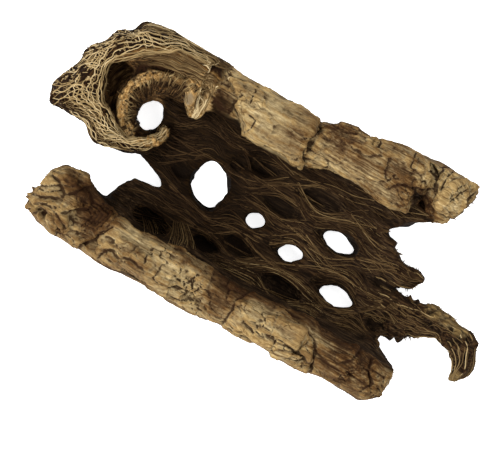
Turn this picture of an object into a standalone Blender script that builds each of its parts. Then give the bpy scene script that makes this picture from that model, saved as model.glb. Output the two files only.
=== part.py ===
"""A chunk of old cholla cactus wood, broken lengthwise into an open trough.

The trunk's thick wall makes the back and the two long rims. Its inside is a lattice of lens
shaped pits and holes. One corner ends in a knot, where a side branch curled round its own
hollow, and the other end in broken prongs, one of them a hook. It all grew as one piece.

The chunk lies on its back: +X runs along the trunk from the knot to the hook, +Y goes to the
rim that carries the knot, and +Z points up out of the trough. The origin is on the ground,
below the middle of the chunk. Sizes are in millimetres until the last step.
"""
import math

import bmesh
import bpy
from mathutils import Matrix, Vector, noise

NODE = "cholla_wood"
MM = 0.001

# Middle of the chunk's outline, in the frame that the outline points below are measured in
MIDDLE_X, MIDDLE_Y = 1.0, 2.4

# The trough: how its section changes along the trunk, as (x, value) pairs
RIM_OUTER_LOW = (
    (-93, -45), (-86, -50.5), (-75, -52), (-30, -53), (-5, -51.5), (8, -49), (20, -51), (40, -50.5),
    (60, -48.5), (72, -49.5), (81, -43),
)
RIM_INNER_LOW = (
    (-94, -24), (-76, -23.5), (-62, -29), (-45, -34), (-20, -31), (12, -33), (46, -30), (82, -29),
)
RIM_INNER_HIGH = (
    (-60, 25), (-31, 22.5), (0, 25), (2, 25), (5, 27.5), (14, 30), (40, 28.5), (49, 31), (52, 38),
    (56, 38), (60, 34), (76, 36),
)
RIM_OUTER_HIGH = (
    (-60, 46.5), (-40, 47.5), (-20, 46), (2, 47), (6, 50), (15, 52), (40, 56), (60, 57), (76, 56),
)
RIM_TOP_LOW = (
    (-94, 37), (-82, 45), (-72, 47), (-69, 42), (-58, 43), (-55, 47), (-30, 50), (-19, 49), (-17, 45),
    (8, 46), (11, 50), (38, 49), (41, 45), (62, 45), (66, 40), (82, 37),
)
RIM_TOP_HIGH = (
    (-60, 50), (-38, 52), (-20, 55), (0, 55), (4, 50), (20, 54), (49, 53), (52, 44), (57, 44), (60, 49),
    (76, 43),
)
BACK_RISE = ((-94, 15), (-66, 4), (-50, 0), (45, 0), (62, 4), (82, 12))
FLOOR_TOP = 15.0
FLOOR_CROWN = -1.0
GROUND_DIP = 2.2
STATION_STEP = 4.0
# The wall's section, from the low rim round the back and along the inside: the edge that a point
# is measured from, how far it lies from that edge, its level and how far it lies above that level
SECTION = (
    ("outer_low", 5, "top_low", 0), ("outer_low", 1, "top_low", -5), ("outer_low", 0, "top_low", -14),
    ("outer_low", 2, "ground", 22), ("outer_low", 9, "back", 10), ("outer_low", 20, "back", 2),
    ("middle", -20, "back", -GROUND_DIP), ("middle", 0, "back", -GROUND_DIP),
    ("middle", 20, "back", -GROUND_DIP), ("outer_high", -20, "back", 2), ("outer_high", -9, "back", 10),
    ("outer_high", -2, "ground", 22), ("outer_high", 0, "top_high", -16),
    ("outer_high", -1, "top_high", -6), ("outer_high", -6, "top_high", 0),
    ("inner_high", 7, "top_high", -1), ("inner_high", 1, "top_high", -5),
    ("inner_high", 0, "top_high", -11), ("inner_high", 4, "top_high", -18),
    ("inner_high", 5, "floor", 8), ("inner_high", -2, "floor", 2), ("middle", 12, "floor", 0),
    ("middle", 0, "floor", FLOOR_CROWN), ("middle", -12, "floor", 0), ("inner_low", 9, "floor", 2),
    ("inner_low", 5, "floor", 9), ("inner_low", 3, "top_low", -14), ("inner_low", 0, "top_low", -5),
    ("inner_low", -5, "top_low", 0),
)

# Wood left in the trough, seen from above: its broken ends and the notch beside the knot
PLAN_OUTLINE = (
    (-94, -62), (80, -62), (81, -39), (80, -30), (76, -28), (67, -23), (69, -19), (76, -16), (79, -9),
    (76, -2), (66, -1), (59, -1), (60, 2), (69, 4), (73, 10), (66, 12), (56, 11.5), (58, 14), (52, 15),
    (54, 18), (46, 19.5), (53, 25), (58, 31), (67, 35), (71, 42), (73.5, 52), (70, 64), (-48.5, 64),
    (-49, 30), (-52, 23), (-68, 20), (-62, -4), (-48, -8), (-43, -12.5), (-47, -13.5), (-57, -15),
    (-62, -21), (-64, -28), (-70, -26), (-76, -23), (-85, -23.5), (-89, -30),
)

# The knot's outer band: inner edge, outer edge and height of its crest, from the rim round to the tongue
BAND = (
    ((-36, 36), (-36, 47), 28), ((-45, 38), (-44, 48.5), 52), ((-58, 39.5), (-57, 48.5), 52),
    ((-68, 38.5), (-69, 49), 53), ((-76, 35.5), (-78.5, 48), 53), ((-80, 33.5), (-86.5, 46.5), 52),
    ((-82.5, 31.5), (-89, 39.5), 50.5), ((-86, 28.5), (-95.5, 37), 49), ((-88.5, 25.5), (-98, 31), 48),
    ((-90, 22), (-102, 26.5), 47), ((-89.5, 17), (-102.5, 17), 45), ((-87, 12), (-108.5, 4), 42),
    ((-84, 8), (-106, -4), 39), ((-79, 4.5), (-88, -4), 37), ((-75, 1.5), (-80, -10), 35),
    ((-68, -0.5), (-67, -7), 31), ((-62, 3), (-58, -4), 27), ((-58, 8), (-51.5, 5), 24),
    ((-57, 12), (-52, 13), 21),
)
# The band's section: share of the width, share of the crest's height and height added to it
BAND_PROFILE = (
    (0.0, 0, 4), (-0.05, 0, 14), (0.0, 1, -10), (0.06, 1, -2), (0.3, 1, 0), (0.62, 1, -3),
    (0.88, 0.72, 0), (1.0, 0.5, 0), (0.92, 0.3, 0), (0.6, 0, 6), (0.3, 0, 2),
)
# The band's inner face where it slopes down to the inner wall: crest, foot and height of the crest
BAND_SLOPE = (
    ((-46, 41), (-46, 36.5), 50), ((-58, 42), (-57.5, 35.5), 51.5), ((-68, 42), (-67.5, 34), 52),
    ((-75, 39.5), (-72.5, 32.5), 51.5), ((-80.5, 35.5), (-77.5, 30), 50), ((-85.5, 30), (-83, 27), 47),
)
BAND_SLOPE_DROP = 14.0
BAND_SLOPE_BOTTOM = 12.0
# The ribbed inner wall round the knot's hollow: middle and height of its crest
INNER_WALL = (
    ((-49, 32), 41), ((-60, 33), 43), ((-67, 31), 43), ((-73, 28), 41), ((-77, 24), 39),
    ((-79, 18), 36), ((-78, 10), 32), ((-74, 4), 28), ((-68, 1), 25),
)
# The inner wall's section: distance from the crest towards the hollow and height below the crest
INNER_WALL_PROFILE = (
    (-6, -40), (-4, -14), (-2, -2), (0, 0), (2.5, -1.5), (6, -9), (10, -20), (12, -40),
)
INNER_WALL_FOOT = 8.0
# The hollow in the knot: middle, then height and radius from the bottom to the top
HOLLOW_MIDDLE = (-65.0, 12.5)
HOLLOW_LEVELS = ((-6, 7), (6, 5.8), (16, 5.2), (26, 5.4), (60, 6.4))
HOLLOW_STRETCH = 1.35
HOLLOW_SIDES = 14
KNOT_FLOOR = ((-75, 18, 9), (26, 23, 8))

# Prongs at the open end: middle line, half width and half height
HOOK = (
    ((58, -9, 9), 6, 5), ((70, -8.5, 9), 7.5, 5.5), ((80, -6, 11), 7, 6), ((88, -4, 14), 6.4, 6),
    ((95, -4.5, 16), 6.2, 5.5), ((100.5, -6.5, 18), 6.2, 5), ((103.5, -10.5, 18.5), 6, 4.8),
    ((104.5, -14, 18), 5.4, 4.4), ((104.8, -18, 17), 4.2, 3.6), ((105, -21.5, 16), 2.2, 2.2),
)
# The loose tip at the end of the knot's curl, which hangs over the trough
CURL_TIP = (
    ((-54, 37, 37), 5, 5), ((-51.5, 31.5, 37), 5.5, 5), ((-49.5, 26.5, 34.5), 4.6, 4),
    ((-48, 21.5, 31.5), 3.2, 3), ((-47.2, 17.5, 29.5), 1.4, 1.6),
)
MIDDLE_PRONG = (
    ((48, 8, 9), 5, 5), ((60, 7.5, 10), 5.2, 5), ((67, 7.5, 12), 4, 4.5), ((72.5, 9.5, 14), 1.4, 2),
)

# Holes right through the floor: middle, length, width and turn in degrees
HOLES = (
    ((-28, -0.5), 22.5, 17, -62), ((-3.5, -4), 10.5, 9, 20), ((17, -9), 12.5, 9.5, 15),
    ((33.5, 6), 18.5, 9, -6), ((43.5, -15), 19, 9.4, 7),
)
HOLE_Z = 8.0
HOLE_REACH = 30.0
# Pits that the strands of the lattice leave in the floor: middle, length, width, turn and depth
PITS = (
    ((-41, -1), 13, 8, 10, 8), ((-12, 17), 20, 9, 10, 5), ((-10, -3.5), 22, 13, 10, 6),
    ((3, 7), 23, 10, 5, 6), ((18, 18), 23, 9, 0, 5), ((-17, -24.5), 14, 8, 15, 9),
    ((-4, -17.5), 17, 8.5, -5, 8), ((14, -8), 17, 11, 5, 7), ((30, 5), 24, 12, -4, 7),
    ((20, -24), 21, 9, -8, 7), ((40, -13.5), 24, 12.5, 5, 8), ((58, 0), 15, 9, 0, 6),
    ((64, -15), 14, 10, 0, 6), ((-41, -28), 20, 11, -14, 11), ((-22, 14), 12, 8, 60, 5),
)
FLOOR_PIT_Z = 17.0
LENS_POINT = 0.35

# Pits of the trunk's weathered outside, set in a spiral as the cactus grew them
BACK_PIT_ROWS = 7
BACK_PITS_IN_ROW = 7
BACK_PIT_START = -88.0
BACK_PIT_STEP = 27.0
BACK_ROW_FIRST_ANGLE = -84.0
BACK_ROW_ANGLE = 28.0
BACK_PIT_SIZE = (17.0, 8.5, 7.0)
BACK_PIT_TURN = 24.0
BACK_RADIUS = 50.0
BACK_AXIS_Z = 46.0

# Cracks across the rims: two ends, width at the top and height of the bottom
CRACKS = (
    ((-3, 60), (4, 22), 4.2, 38), ((51, 40), (57, 24), 8, 22), ((47, 62), (50, 34), 3.6, 42),
    ((57, 64), (56, 38), 4, 38), ((-66, -22), (-75, -58), 4.2, 35),
    ((-53, -46), (-58, -60), 4, 34), ((-15, -38), (-20, -60), 4.2, 36), ((12, -24), (7, -60), 4, 39),
    ((42, -36), (36, -60), 4.2, 36), ((66, -32), (60, -60), 4, 34), ((20, 62), (25, 46), 4, 40),
    ((-24, 56), (-20, 40), 3.4, 46),
)
CRACK_TOP = 66.0
CRACK_TAPER = 0.5
# The sunk corner between the knot and the high rim: its outline with the height of its bottom
RECESS = ((-52, 50, 44), (-37, 39, 38), (-23, 21, 30), (-50, 14, 27))

# Lumps that weathering left on the surface, and ledges where the rims' wood broke off in blocks
LUMP_HEIGHT = 1.5
LUMP_SIZE = 9.0
LUMP_SMOOTHNESS, LUMP_FINENESS, LUMP_LAYERS = 0.8, 2.1, 3
GRAIN_STRETCH = 2.2
LEDGE_HEIGHT = 0.8
LEDGE_LENGTH = 21.0
LEDGE_WIDTH = 8.0
LEDGE_START_Z, LEDGE_FULL_Z = 26.0, 34.0
VOXEL = 1.5
FACE_COUNT = 9200

# Blocks that trim the wood: the broken outline's height range, and the ground's size
OUTLINE_BOTTOM, OUTLINE_TOP = -10.0, 80.0
GROUND_HALF_LENGTH, GROUND_HALF_WIDTH, GROUND_DEPTH = 150.0, 90.0, 30.0

WOOD_COLOUR = (0.33, 0.22, 0.115, 1.0)
WOOD_ROUGHNESS = 0.9


def clear_scene():
    for thing in list(bpy.data.objects):
        bpy.data.objects.remove(thing, do_unlink=True)


def value_at(pairs, x):
    """Reads a smooth curve through (x, value) pairs."""
    if x <= pairs[0][0]:
        return pairs[0][1]
    for (x0, v0), (x1, v1) in zip(pairs, pairs[1:]):
        if x <= x1:
            t = (x - x0) / (x1 - x0)
            return v0 + (v1 - v0) * t * t * (3 - 2 * t)
    return pairs[-1][1]


def new_object(name, bm):
    bmesh.ops.recalc_face_normals(bm, faces=bm.faces)
    mesh = bpy.data.meshes.new(name)
    bm.to_mesh(mesh)
    bm.free()
    thing = bpy.data.objects.new(name, mesh)
    bpy.context.collection.objects.link(thing)
    return thing


def loft(name, rings):
    """Joins rings of equal count into one closed tube."""
    bm = bmesh.new()
    loops = [[bm.verts.new(point) for point in ring] for ring in rings]
    count = len(loops[0])
    for lower, upper in zip(loops, loops[1:]):
        for i in range(count):
            j = (i + 1) % count
            bm.faces.new((lower[i], lower[j], upper[j], upper[i]))
    bm.faces.new(loops[0])
    bm.faces.new(loops[-1])
    return new_object(name, bm)


def prism(name, outline, bottom, top):
    low = [(x, y, bottom) for x, y in outline]
    high = [(x, y, top) for x, y in outline]
    return loft(name, (low, high))


def ellipsoid(name, middle, radii):
    bm = bmesh.new()
    bmesh.ops.create_uvsphere(bm, u_segments=24, v_segments=14, radius=1.0)
    bmesh.ops.scale(bm, vec=radii, verts=bm.verts)
    bmesh.ops.translate(bm, vec=middle, verts=bm.verts)
    return new_object(name, bm)


def trough_section(x):
    """The C-shaped section of the trunk wall at x."""
    edges = {
        "outer_low": value_at(RIM_OUTER_LOW, x), "inner_low": value_at(RIM_INNER_LOW, x), "middle": 0.0,
        "outer_high": value_at(RIM_OUTER_HIGH, x), "inner_high": value_at(RIM_INNER_HIGH, x),
    }
    levels = {
        "top_low": value_at(RIM_TOP_LOW, x), "top_high": value_at(RIM_TOP_HIGH, x),
        "back": value_at(BACK_RISE, x), "floor": FLOOR_TOP, "ground": 0.0,
    }
    return [(x, edges[edge] + across, levels[level] + up) for edge, across, level, up in SECTION]


def trough():
    start, end = RIM_OUTER_LOW[0][0], RIM_OUTER_LOW[-1][0]
    count = round((end - start) / STATION_STEP)
    rings = [trough_section(start + (end - start) * i / count) for i in range(count + 1)]
    body = loft("trough", rings)
    broken_outline = prism("broken_outline", PLAN_OUTLINE, OUTLINE_BOTTOM, OUTLINE_TOP)
    boolean(body, "INTERSECT", broken_outline)
    return body


def knot_band():
    """The band that curls round the knot, wide at its foot and narrow at its crest."""
    rings = []
    for inner, outer, top in BAND:
        across = Vector(outer) - Vector(inner)
        ring = []
        for share, top_share, added in BAND_PROFILE:
            ring.append((*(Vector(inner) + across * share), top * top_share + added))
        rings.append(ring)
    return loft("knot_band", rings)


def knot_band_slope():
    """A wedge from the band's crest down to its foot beside the inner wall."""
    rings = []
    for crest, foot, top in BAND_SLOPE:
        rings.append((
            (*crest, BAND_SLOPE_BOTTOM), (*crest, top), (*foot, top - BAND_SLOPE_DROP),
            (*foot, BAND_SLOPE_BOTTOM),
        ))
    return loft("knot_band_slope", rings)


def knot_inner_wall():
    rings = []
    for crest, top in INNER_WALL:
        inward = (Vector(HOLLOW_MIDDLE) - Vector(crest)).normalized()
        ring = []
        for reach, drop in INNER_WALL_PROFILE:
            ring.append((*(Vector(crest) + inward * reach), max(top + drop, INNER_WALL_FOOT)))
        rings.append(ring)
    return loft("knot_inner_wall", rings)


def prong(name, stations, sides=12):
    """A tapered arm whose section follows its middle line."""
    middles = [Vector(middle) for middle, _, _ in stations]
    rings = []
    for i, (_, half_width, half_height) in enumerate(stations):
        ahead = middles[min(i + 1, len(middles) - 1)] - middles[max(i - 1, 0)]
        side = Vector((-ahead.y, ahead.x, 0)).normalized()
        up = ahead.cross(side).normalized()
        ring = []
        for k in range(sides):
            turn = 2 * math.pi * k / sides
            across, above = half_width * math.cos(turn), half_height * math.sin(turn)
            ring.append(middles[i] + side * across + up * above)
        rings.append(ring)
    return loft(name, rings)


def lens(name, middle, length, width, depth, turn):
    """A lens with pointed ends, the gap that the strands of the lattice leave."""
    bm = bmesh.new()
    bmesh.ops.create_uvsphere(bm, u_segments=16, v_segments=10, radius=1.0)
    for vert in bm.verts:
        narrowing = 1.0 - LENS_POINT * vert.co.x * vert.co.x
        vert.co = Vector((vert.co.x * length / 2, vert.co.y * narrowing * width / 2, vert.co.z * depth))
    bmesh.ops.transform(bm, matrix=Matrix.Translation(middle) @ turn, verts=bm.verts)
    return new_object(name, bm)


def flat_turn(degrees):
    return Matrix.Rotation(math.radians(degrees), 4, "Z")


def floor_cutters():
    cutters = []
    for (x, y), length, width, turn in HOLES:
        cutters.append(lens("hole", (x, y, HOLE_Z), length, width, HOLE_REACH, flat_turn(turn)))
    for (x, y), length, width, turn, depth in PITS:
        cutters.append(lens("pit", (x, y, FLOOR_PIT_Z), length, width, depth, flat_turn(turn)))
    return cutters


def back_cutters():
    """Rows of pits round the outside, each row half a step further on than the last."""
    cutters = []
    for row in range(BACK_PIT_ROWS):
        angle = math.radians(BACK_ROW_FIRST_ANGLE + BACK_ROW_ANGLE * row)
        outward = Vector((0, math.sin(angle), -math.cos(angle)))
        turn = Matrix.Rotation(angle, 4, "X") @ flat_turn(BACK_PIT_TURN)
        length, width, depth = BACK_PIT_SIZE
        for i in range(BACK_PITS_IN_ROW):
            x = BACK_PIT_START + BACK_PIT_STEP * (i + 0.5 * (row % 2))
            on_surface = Vector((x, 0, BACK_AXIS_Z)) + outward * BACK_RADIUS
            cutters.append(lens("back_pit", on_surface, length, width, depth, turn))
    return cutters


def crack_cutters():
    cutters = []
    for start, end, width, bottom in CRACKS:
        along = (Vector(end) - Vector(start)).normalized()
        wide = Vector((-along.y, along.x)) * width / 2
        narrow = wide * CRACK_TAPER
        rings = []
        for place in (Vector(start), Vector(end)):
            rings.append([
                (*(place - wide), CRACK_TOP), (*(place + wide), CRACK_TOP),
                (*(place + narrow), bottom), (*(place - narrow), bottom),
            ])
        cutters.append(loft("crack", rings))
    return cutters


def recess_cutter():
    return loft("recess", (RECESS, [(x, y, CRACK_TOP) for x, y, _ in RECESS]))


def hollow_cutter():
    """The knot's own hollow, open from top to bottom."""
    x, y = HOLLOW_MIDDLE
    rings = []
    for z, radius in HOLLOW_LEVELS:
        ring = []
        for k in range(HOLLOW_SIDES):
            turn = 2 * math.pi * k / HOLLOW_SIDES
            ring.append((x + radius * math.cos(turn), y + HOLLOW_STRETCH * radius * math.sin(turn), z))
        rings.append(ring)
    return loft("knot_hollow", rings)


def boolean(body, operation, *operands):
    """Adds one Boolean with all the operands, which stay as guides only."""
    group = bpy.data.collections.new(operation.lower())
    bpy.context.scene.collection.children.link(group)
    for operand in operands:
        group.objects.link(operand)
        bpy.context.collection.objects.unlink(operand)
        operand.hide_render = True
        operand.display_type = "WIRE"
    cut = body.modifiers.new(operation.lower(), "BOOLEAN")
    cut.operation = operation
    cut.operand_type = "COLLECTION"
    cut.collection = group
    cut.solver = "EXACT"


def voxel_remesh(body, size):
    remesh = body.modifiers.new("even_mesh", "REMESH")
    remesh.mode = "VOXEL"
    remesh.voxel_size = size


def evaluated_mesh(thing):
    graph = bpy.context.evaluated_depsgraph_get()
    mesh = bpy.data.meshes.new_from_object(thing.evaluated_get(graph))
    thing.modifiers.clear()
    return mesh


def keep_largest_shell(bm):
    """Deletes crumbs and sealed pockets that the cuts left apart from the main body."""
    left = set(bm.verts)
    shells = []
    while left:
        shell = set()
        edge_of_search = [left.pop()]
        while edge_of_search:
            vert = edge_of_search.pop()
            shell.add(vert)
            for edge in vert.link_edges:
                other = edge.other_vert(vert)
                if other in left:
                    left.remove(other)
                    edge_of_search.append(other)
        shells.append(shell)
    largest = max(shells, key=len)
    loose = [vert for shell in shells if shell is not largest for vert in shell]
    bmesh.ops.delete(bm, geom=loose, context="VERTS")


def lump(place):
    """Height of the weathered lumps, which are drawn out along the grain."""
    stretched = Vector((place.x / GRAIN_STRETCH, place.y, place.z)) / LUMP_SIZE
    return LUMP_HEIGHT * noise.fractal(stretched, LUMP_SMOOTHNESS, LUMP_FINENESS, LUMP_LAYERS)


def ledge(place):
    """Height of the block that a point of the rims belongs to; the floor has no ledges."""
    block = Vector((place.x / LEDGE_LENGTH, place.y / LEDGE_WIDTH, place.z / LEDGE_WIDTH))
    share = (place.z - LEDGE_START_Z) / (LEDGE_FULL_Z - LEDGE_START_Z)
    return LEDGE_HEIGHT * noise.cell(block) * min(max(share, 0.0), 1.0)


def weather(bm):
    """Pushes the surface in and out by its lumps and ledges."""
    bm.normal_update()
    moves = [vert.normal * (lump(vert.co) + ledge(vert.co)) for vert in bm.verts]
    for vert, move in zip(bm.verts, moves):
        vert.co += move


def edit_mesh(mesh, *steps):
    bm = bmesh.new()
    bm.from_mesh(mesh)
    for step in steps:
        step(bm)
    bm.to_mesh(mesh)
    bm.free()


def wood_material():
    wood = bpy.data.materials.new("weathered_cholla")
    wood.use_nodes = True
    shader = wood.node_tree.nodes["Principled BSDF"]
    shader.inputs["Base Color"].default_value = WOOD_COLOUR
    shader.inputs["Roughness"].default_value = WOOD_ROUGHNESS
    shader.inputs["Metallic"].default_value = 0.0
    return wood


def build_wood():
    wood = trough()
    grown_on = (
        knot_band(), knot_band_slope(), knot_inner_wall(), ellipsoid("knot_floor", *KNOT_FLOOR),
        prong("hook", HOOK), prong("middle_prong", MIDDLE_PRONG), prong("curl_tip", CURL_TIP),
    )
    boolean(wood, "UNION", *grown_on)
    cutters = (hollow_cutter(), recess_cutter(), *floor_cutters(), *back_cutters(), *crack_cutters())
    boolean(wood, "DIFFERENCE", *cutters)
    voxel_remesh(wood, VOXEL)
    wood.data = evaluated_mesh(wood)
    edit_mesh(wood.data, keep_largest_shell, weather)

    decimate = wood.modifiers.new("fewer_faces", "DECIMATE")
    decimate.ratio = FACE_COUNT / (2 * len(wood.data.polygons))
    length, width = GROUND_HALF_LENGTH, GROUND_HALF_WIDTH
    corners = ((-length, -width), (length, -width), (length, width), (-length, width))
    ground = prism("ground", corners, -GROUND_DEPTH, 0)
    boolean(wood, "DIFFERENCE", ground)
    wood.data = evaluated_mesh(wood)
    edit_mesh(wood.data, keep_largest_shell)
    wood.data.transform(Matrix.Scale(MM, 4) @ Matrix.Translation((-MIDDLE_X, -MIDDLE_Y, 0)))
    wood.name = NODE
    wood.data.name = NODE
    wood.data.materials.clear()
    wood.data.materials.append(wood_material())
    return wood


clear_scene()
build_wood()
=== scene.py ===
# %% [markdown]
# # A chunk of old cholla wood
# Cholla is a tree cactus. When it dies, its flesh rots and leaves a hollow trunk of tough wood,
# pierced like a net. This chunk is one side of such a trunk, broken open lengthwise: two thick
# rims of pale blocky wood, a dark floor of crossing strands between them, a knot where a branch
# curled round its own hollow, and a few broken prongs.
#
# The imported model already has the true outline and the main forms. This script dresses it: one
# fine skin with the wood's relief, and on it the strands that are too thin for a solid.

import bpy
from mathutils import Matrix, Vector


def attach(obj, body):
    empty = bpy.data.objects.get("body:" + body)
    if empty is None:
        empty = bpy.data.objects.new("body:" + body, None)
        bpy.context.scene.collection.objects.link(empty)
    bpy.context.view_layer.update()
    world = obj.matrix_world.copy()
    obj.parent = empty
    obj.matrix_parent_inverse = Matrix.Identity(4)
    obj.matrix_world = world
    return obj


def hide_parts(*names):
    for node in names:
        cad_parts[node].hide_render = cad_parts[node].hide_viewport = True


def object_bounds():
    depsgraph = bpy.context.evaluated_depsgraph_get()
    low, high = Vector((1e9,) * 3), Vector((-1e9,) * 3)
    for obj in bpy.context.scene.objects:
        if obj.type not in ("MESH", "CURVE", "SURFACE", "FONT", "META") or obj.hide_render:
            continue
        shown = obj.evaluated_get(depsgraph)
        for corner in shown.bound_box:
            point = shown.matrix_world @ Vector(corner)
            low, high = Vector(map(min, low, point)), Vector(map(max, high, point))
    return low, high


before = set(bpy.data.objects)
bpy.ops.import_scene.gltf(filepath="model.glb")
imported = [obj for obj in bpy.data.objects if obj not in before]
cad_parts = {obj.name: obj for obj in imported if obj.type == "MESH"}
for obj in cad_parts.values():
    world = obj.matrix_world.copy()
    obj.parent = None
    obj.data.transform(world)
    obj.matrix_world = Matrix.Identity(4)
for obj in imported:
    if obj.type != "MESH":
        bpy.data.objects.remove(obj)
cad_low, cad_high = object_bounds()
print("model box in metres:", tuple(cad_low), tuple(cad_high))

# %% [markdown]
# ## Units and places
# Sizes are in millimetres where no comment says metres, in the frame that the chunk was drawn in:
# +X along the trunk from the knot to the hook, +Y towards the rim with the knot, +Z up. The packed
# model has its origin below the middle of the chunk instead, so two small functions go from one to
# the other.

# %% Units and places
import math

import bpy
import numpy as np
from mathutils import Vector
from mathutils.bvhtree import BVHTree

MM = 0.001
DRAWN_MIDDLE = np.array([1.0, 2.4, 0.0])
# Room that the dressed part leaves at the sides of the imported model's box and at its bottom
EDGE_ROOM, FLOOR_ROOM = 0.05, 0.001


def to_drawing(metres):
    return np.asarray(metres) / MM + DRAWN_MIDDLE


def to_frame(points):
    return (np.asarray(points) - DRAWN_MIDDLE) * MM


low_corner = to_drawing(cad_low)
high_corner = to_drawing(cad_high)


def inside_box(points):
    """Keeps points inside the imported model's box, with a hair of room."""
    return np.clip(points, low_corner + (EDGE_ROOM, EDGE_ROOM, FLOOR_ROOM), high_corner - EDGE_ROOM)


print("drawn box in mm:", low_corner.round(1), high_corner.round(1))

# %% [markdown]
# ## Camera
# The photo looks straight down into the trough, with the trunk turned 30 degrees in the picture.
# A long lens far away keeps the tall rims from leaning outwards, as they don't lean in the photo.

# %% Camera
PHOTO_TURN = math.radians(30)
# What the picture shows from side to side, and the place in its middle
PHOTO_WIDTH = 213.75
PHOTO_MIDDLE = (-4.4, -6.6, 30.0)
SENSOR_WIDTH = 36.0
# How far away the camera is and how far it sees, in metres
CAMERA_DISTANCE, CAMERA_REACH = 3.0, 20.0

camera_data = bpy.data.cameras.new("camera")
camera_data.sensor_width = SENSOR_WIDTH
camera_data.lens = SENSOR_WIDTH * CAMERA_DISTANCE / (PHOTO_WIDTH * MM)
camera_data.clip_end = CAMERA_REACH
camera = bpy.data.objects.new("camera", camera_data)
camera.location = Vector(to_frame(PHOTO_MIDDLE)) + Vector((0, 0, CAMERA_DISTANCE))
camera.rotation_euler = (0, 0, PHOTO_TURN)
bpy.context.collection.objects.link(camera)
bpy.context.scene.camera = camera
print("lens in mm:", round(camera_data.lens, 1))

# %% [markdown]
# ## Floor and light
# A product photo on a white light table: a plain pale floor that glows a little and so shows hardly
# a shadow, a wide soft lamp on the picture's left side to bring out the relief, a weaker one
# opposite, and an even white surround. The standard view keeps the wood's measured colours.

# %% Floor and light
# Half the side of the square floor, in metres
FLOOR_HALF = 2.0
PAPER_ROUGHNESS, TABLE_GLOW, SURROUND_STRENGTH = 0.9, 0.8, 1.15
WHITE = (1.0, 1.0, 1.0, 1.0)
PICTURE_LEFT = PHOTO_TURN + math.pi
# Lamps: distance, height and size in metres, power in watts, degrees from the picture's left side
SOFTBOXES = (("key_softbox", 0.8, 1.0, 0.5, 19.0, 25), ("fill_softbox", 0.7, 1.2, 0.8, 5.0, -150))


def srgb(code):
    """Turns a hex colour such as 9f8459 into the linear values that shaders use."""
    linear = []
    for i in (0, 2, 4):
        value = int(code[i:i + 2], 16) / 255
        linear.append(value / 12.92 if value <= 0.04045 else ((value + 0.055) / 1.055) ** 2.4)
    return (*linear, 1.0)


def node(tree, kind, settings=None, **sockets):
    """Adds a shader node with its settings, and sets or links its input sockets by name."""
    made = tree.nodes.new(kind)
    for name, value in (settings or {}).items():
        setattr(made, name, value)
    for name, value in sockets.items():
        place = int(name[1:]) if name[0] == "i" and name[1:].isdigit() else name.replace("_", " ")
        socket = made.inputs[place]
        if isinstance(value, bpy.types.NodeSocket):
            tree.links.new(value, socket)
        else:
            socket.default_value = value
    return made


def new_material(name):
    made = bpy.data.materials.new(name)
    made.use_nodes = True
    return made, made.node_tree, made.node_tree.nodes["Principled BSDF"]


def softbox(name, side, height, size, power, turn):
    """A square lamp that looks at the chunk from one side of the picture."""
    data = bpy.data.lights.new(name, "AREA")
    data.size = size
    data.energy = power
    lamp = bpy.data.objects.new(name, data)
    place = Vector((math.cos(turn) * side, math.sin(turn) * side, height))
    lamp.location = place
    lamp.rotation_euler = (-place).to_track_quat("-Z", "Y").to_euler()
    bpy.context.collection.objects.link(lamp)


paper, _, paper_shader = new_material("matt_white_paper")
paper_shader.inputs["Base Color"].default_value = srgb("f8f8f8")
paper_shader.inputs["Roughness"].default_value = PAPER_ROUGHNESS
paper_shader.inputs["Emission Color"].default_value = WHITE
paper_shader.inputs["Emission Strength"].default_value = TABLE_GLOW

floor_mesh = bpy.data.meshes.new("studio_floor")
corners = [(-FLOOR_HALF, -FLOOR_HALF, 0), (FLOOR_HALF, -FLOOR_HALF, 0)]
corners += [(FLOOR_HALF, FLOOR_HALF, 0), (-FLOOR_HALF, FLOOR_HALF, 0)]
floor_mesh.from_pydata(corners, [], [(0, 1, 2, 3)])
floor_mesh.materials.append(paper)
studio_floor = bpy.data.objects.new("studio_floor", floor_mesh)
bpy.context.collection.objects.link(studio_floor)

for name, side, height, size, power, degrees in SOFTBOXES:
    softbox(name, side, height, size, power, PICTURE_LEFT + math.radians(degrees))

surround = bpy.data.worlds.new("white_surround")
surround.use_nodes = True
background = surround.node_tree.nodes["Background"]
background.inputs["Color"].default_value = WHITE
background.inputs["Strength"].default_value = SURROUND_STRENGTH
bpy.context.scene.world = surround
bpy.context.scene.view_settings.view_transform = "Standard"

# %% [markdown]
# ## Random hills without a texture
# Weathered wood is full of small unevenness at many sizes. A value noise makes it: every point of
# a lattice gets a fixed random height from its own numbers, and the heights between are smoothed.
# Because it has no state, it gives the same wood on every run.

# %% Random hills without a texture
def hashed(first, second, third, seed):
    """A fixed random number from 0 to 1 for each set of whole numbers."""
    mixed = (first * 73856093) ^ (second * 19349663) ^ (third * 83492791) ^ (seed * 83492)
    mixed = ((mixed ^ (mixed >> 13)) * 1274126177) & 0x7FFFFFFF
    mixed = ((mixed ^ (mixed >> 15)) * 69069) & 0x7FFFFFFF
    return ((mixed >> 8) & 0xFFFF) / 65535.0


def ramp(values, start, end):
    """0 before start, 1 after end, and smooth between them."""
    share = np.clip((values - start) / (end - start), 0.0, 1.0)
    return share * share * (3 - 2 * share)


def hills(points, size, seed):
    """Smooth random heights from -1 to 1. Size is the spacing of the hills along each axis."""
    places = points / np.asarray(size, float)
    cell = np.floor(places).astype(np.int64)
    share = places - cell
    share = share * share * (3 - 2 * share)
    total = np.zeros(len(points))
    for corner in range(8):
        step = (corner & 1, corner >> 1 & 1, corner >> 2 & 1)
        weight = np.ones(len(points))
        for axis in range(3):
            weight *= share[:, axis] if step[axis] else 1 - share[:, axis]
        total += weight * hashed(cell[:, 0] + step[0], cell[:, 1] + step[1], cell[:, 2] + step[2], seed)
    return 2 * total - 1


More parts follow.
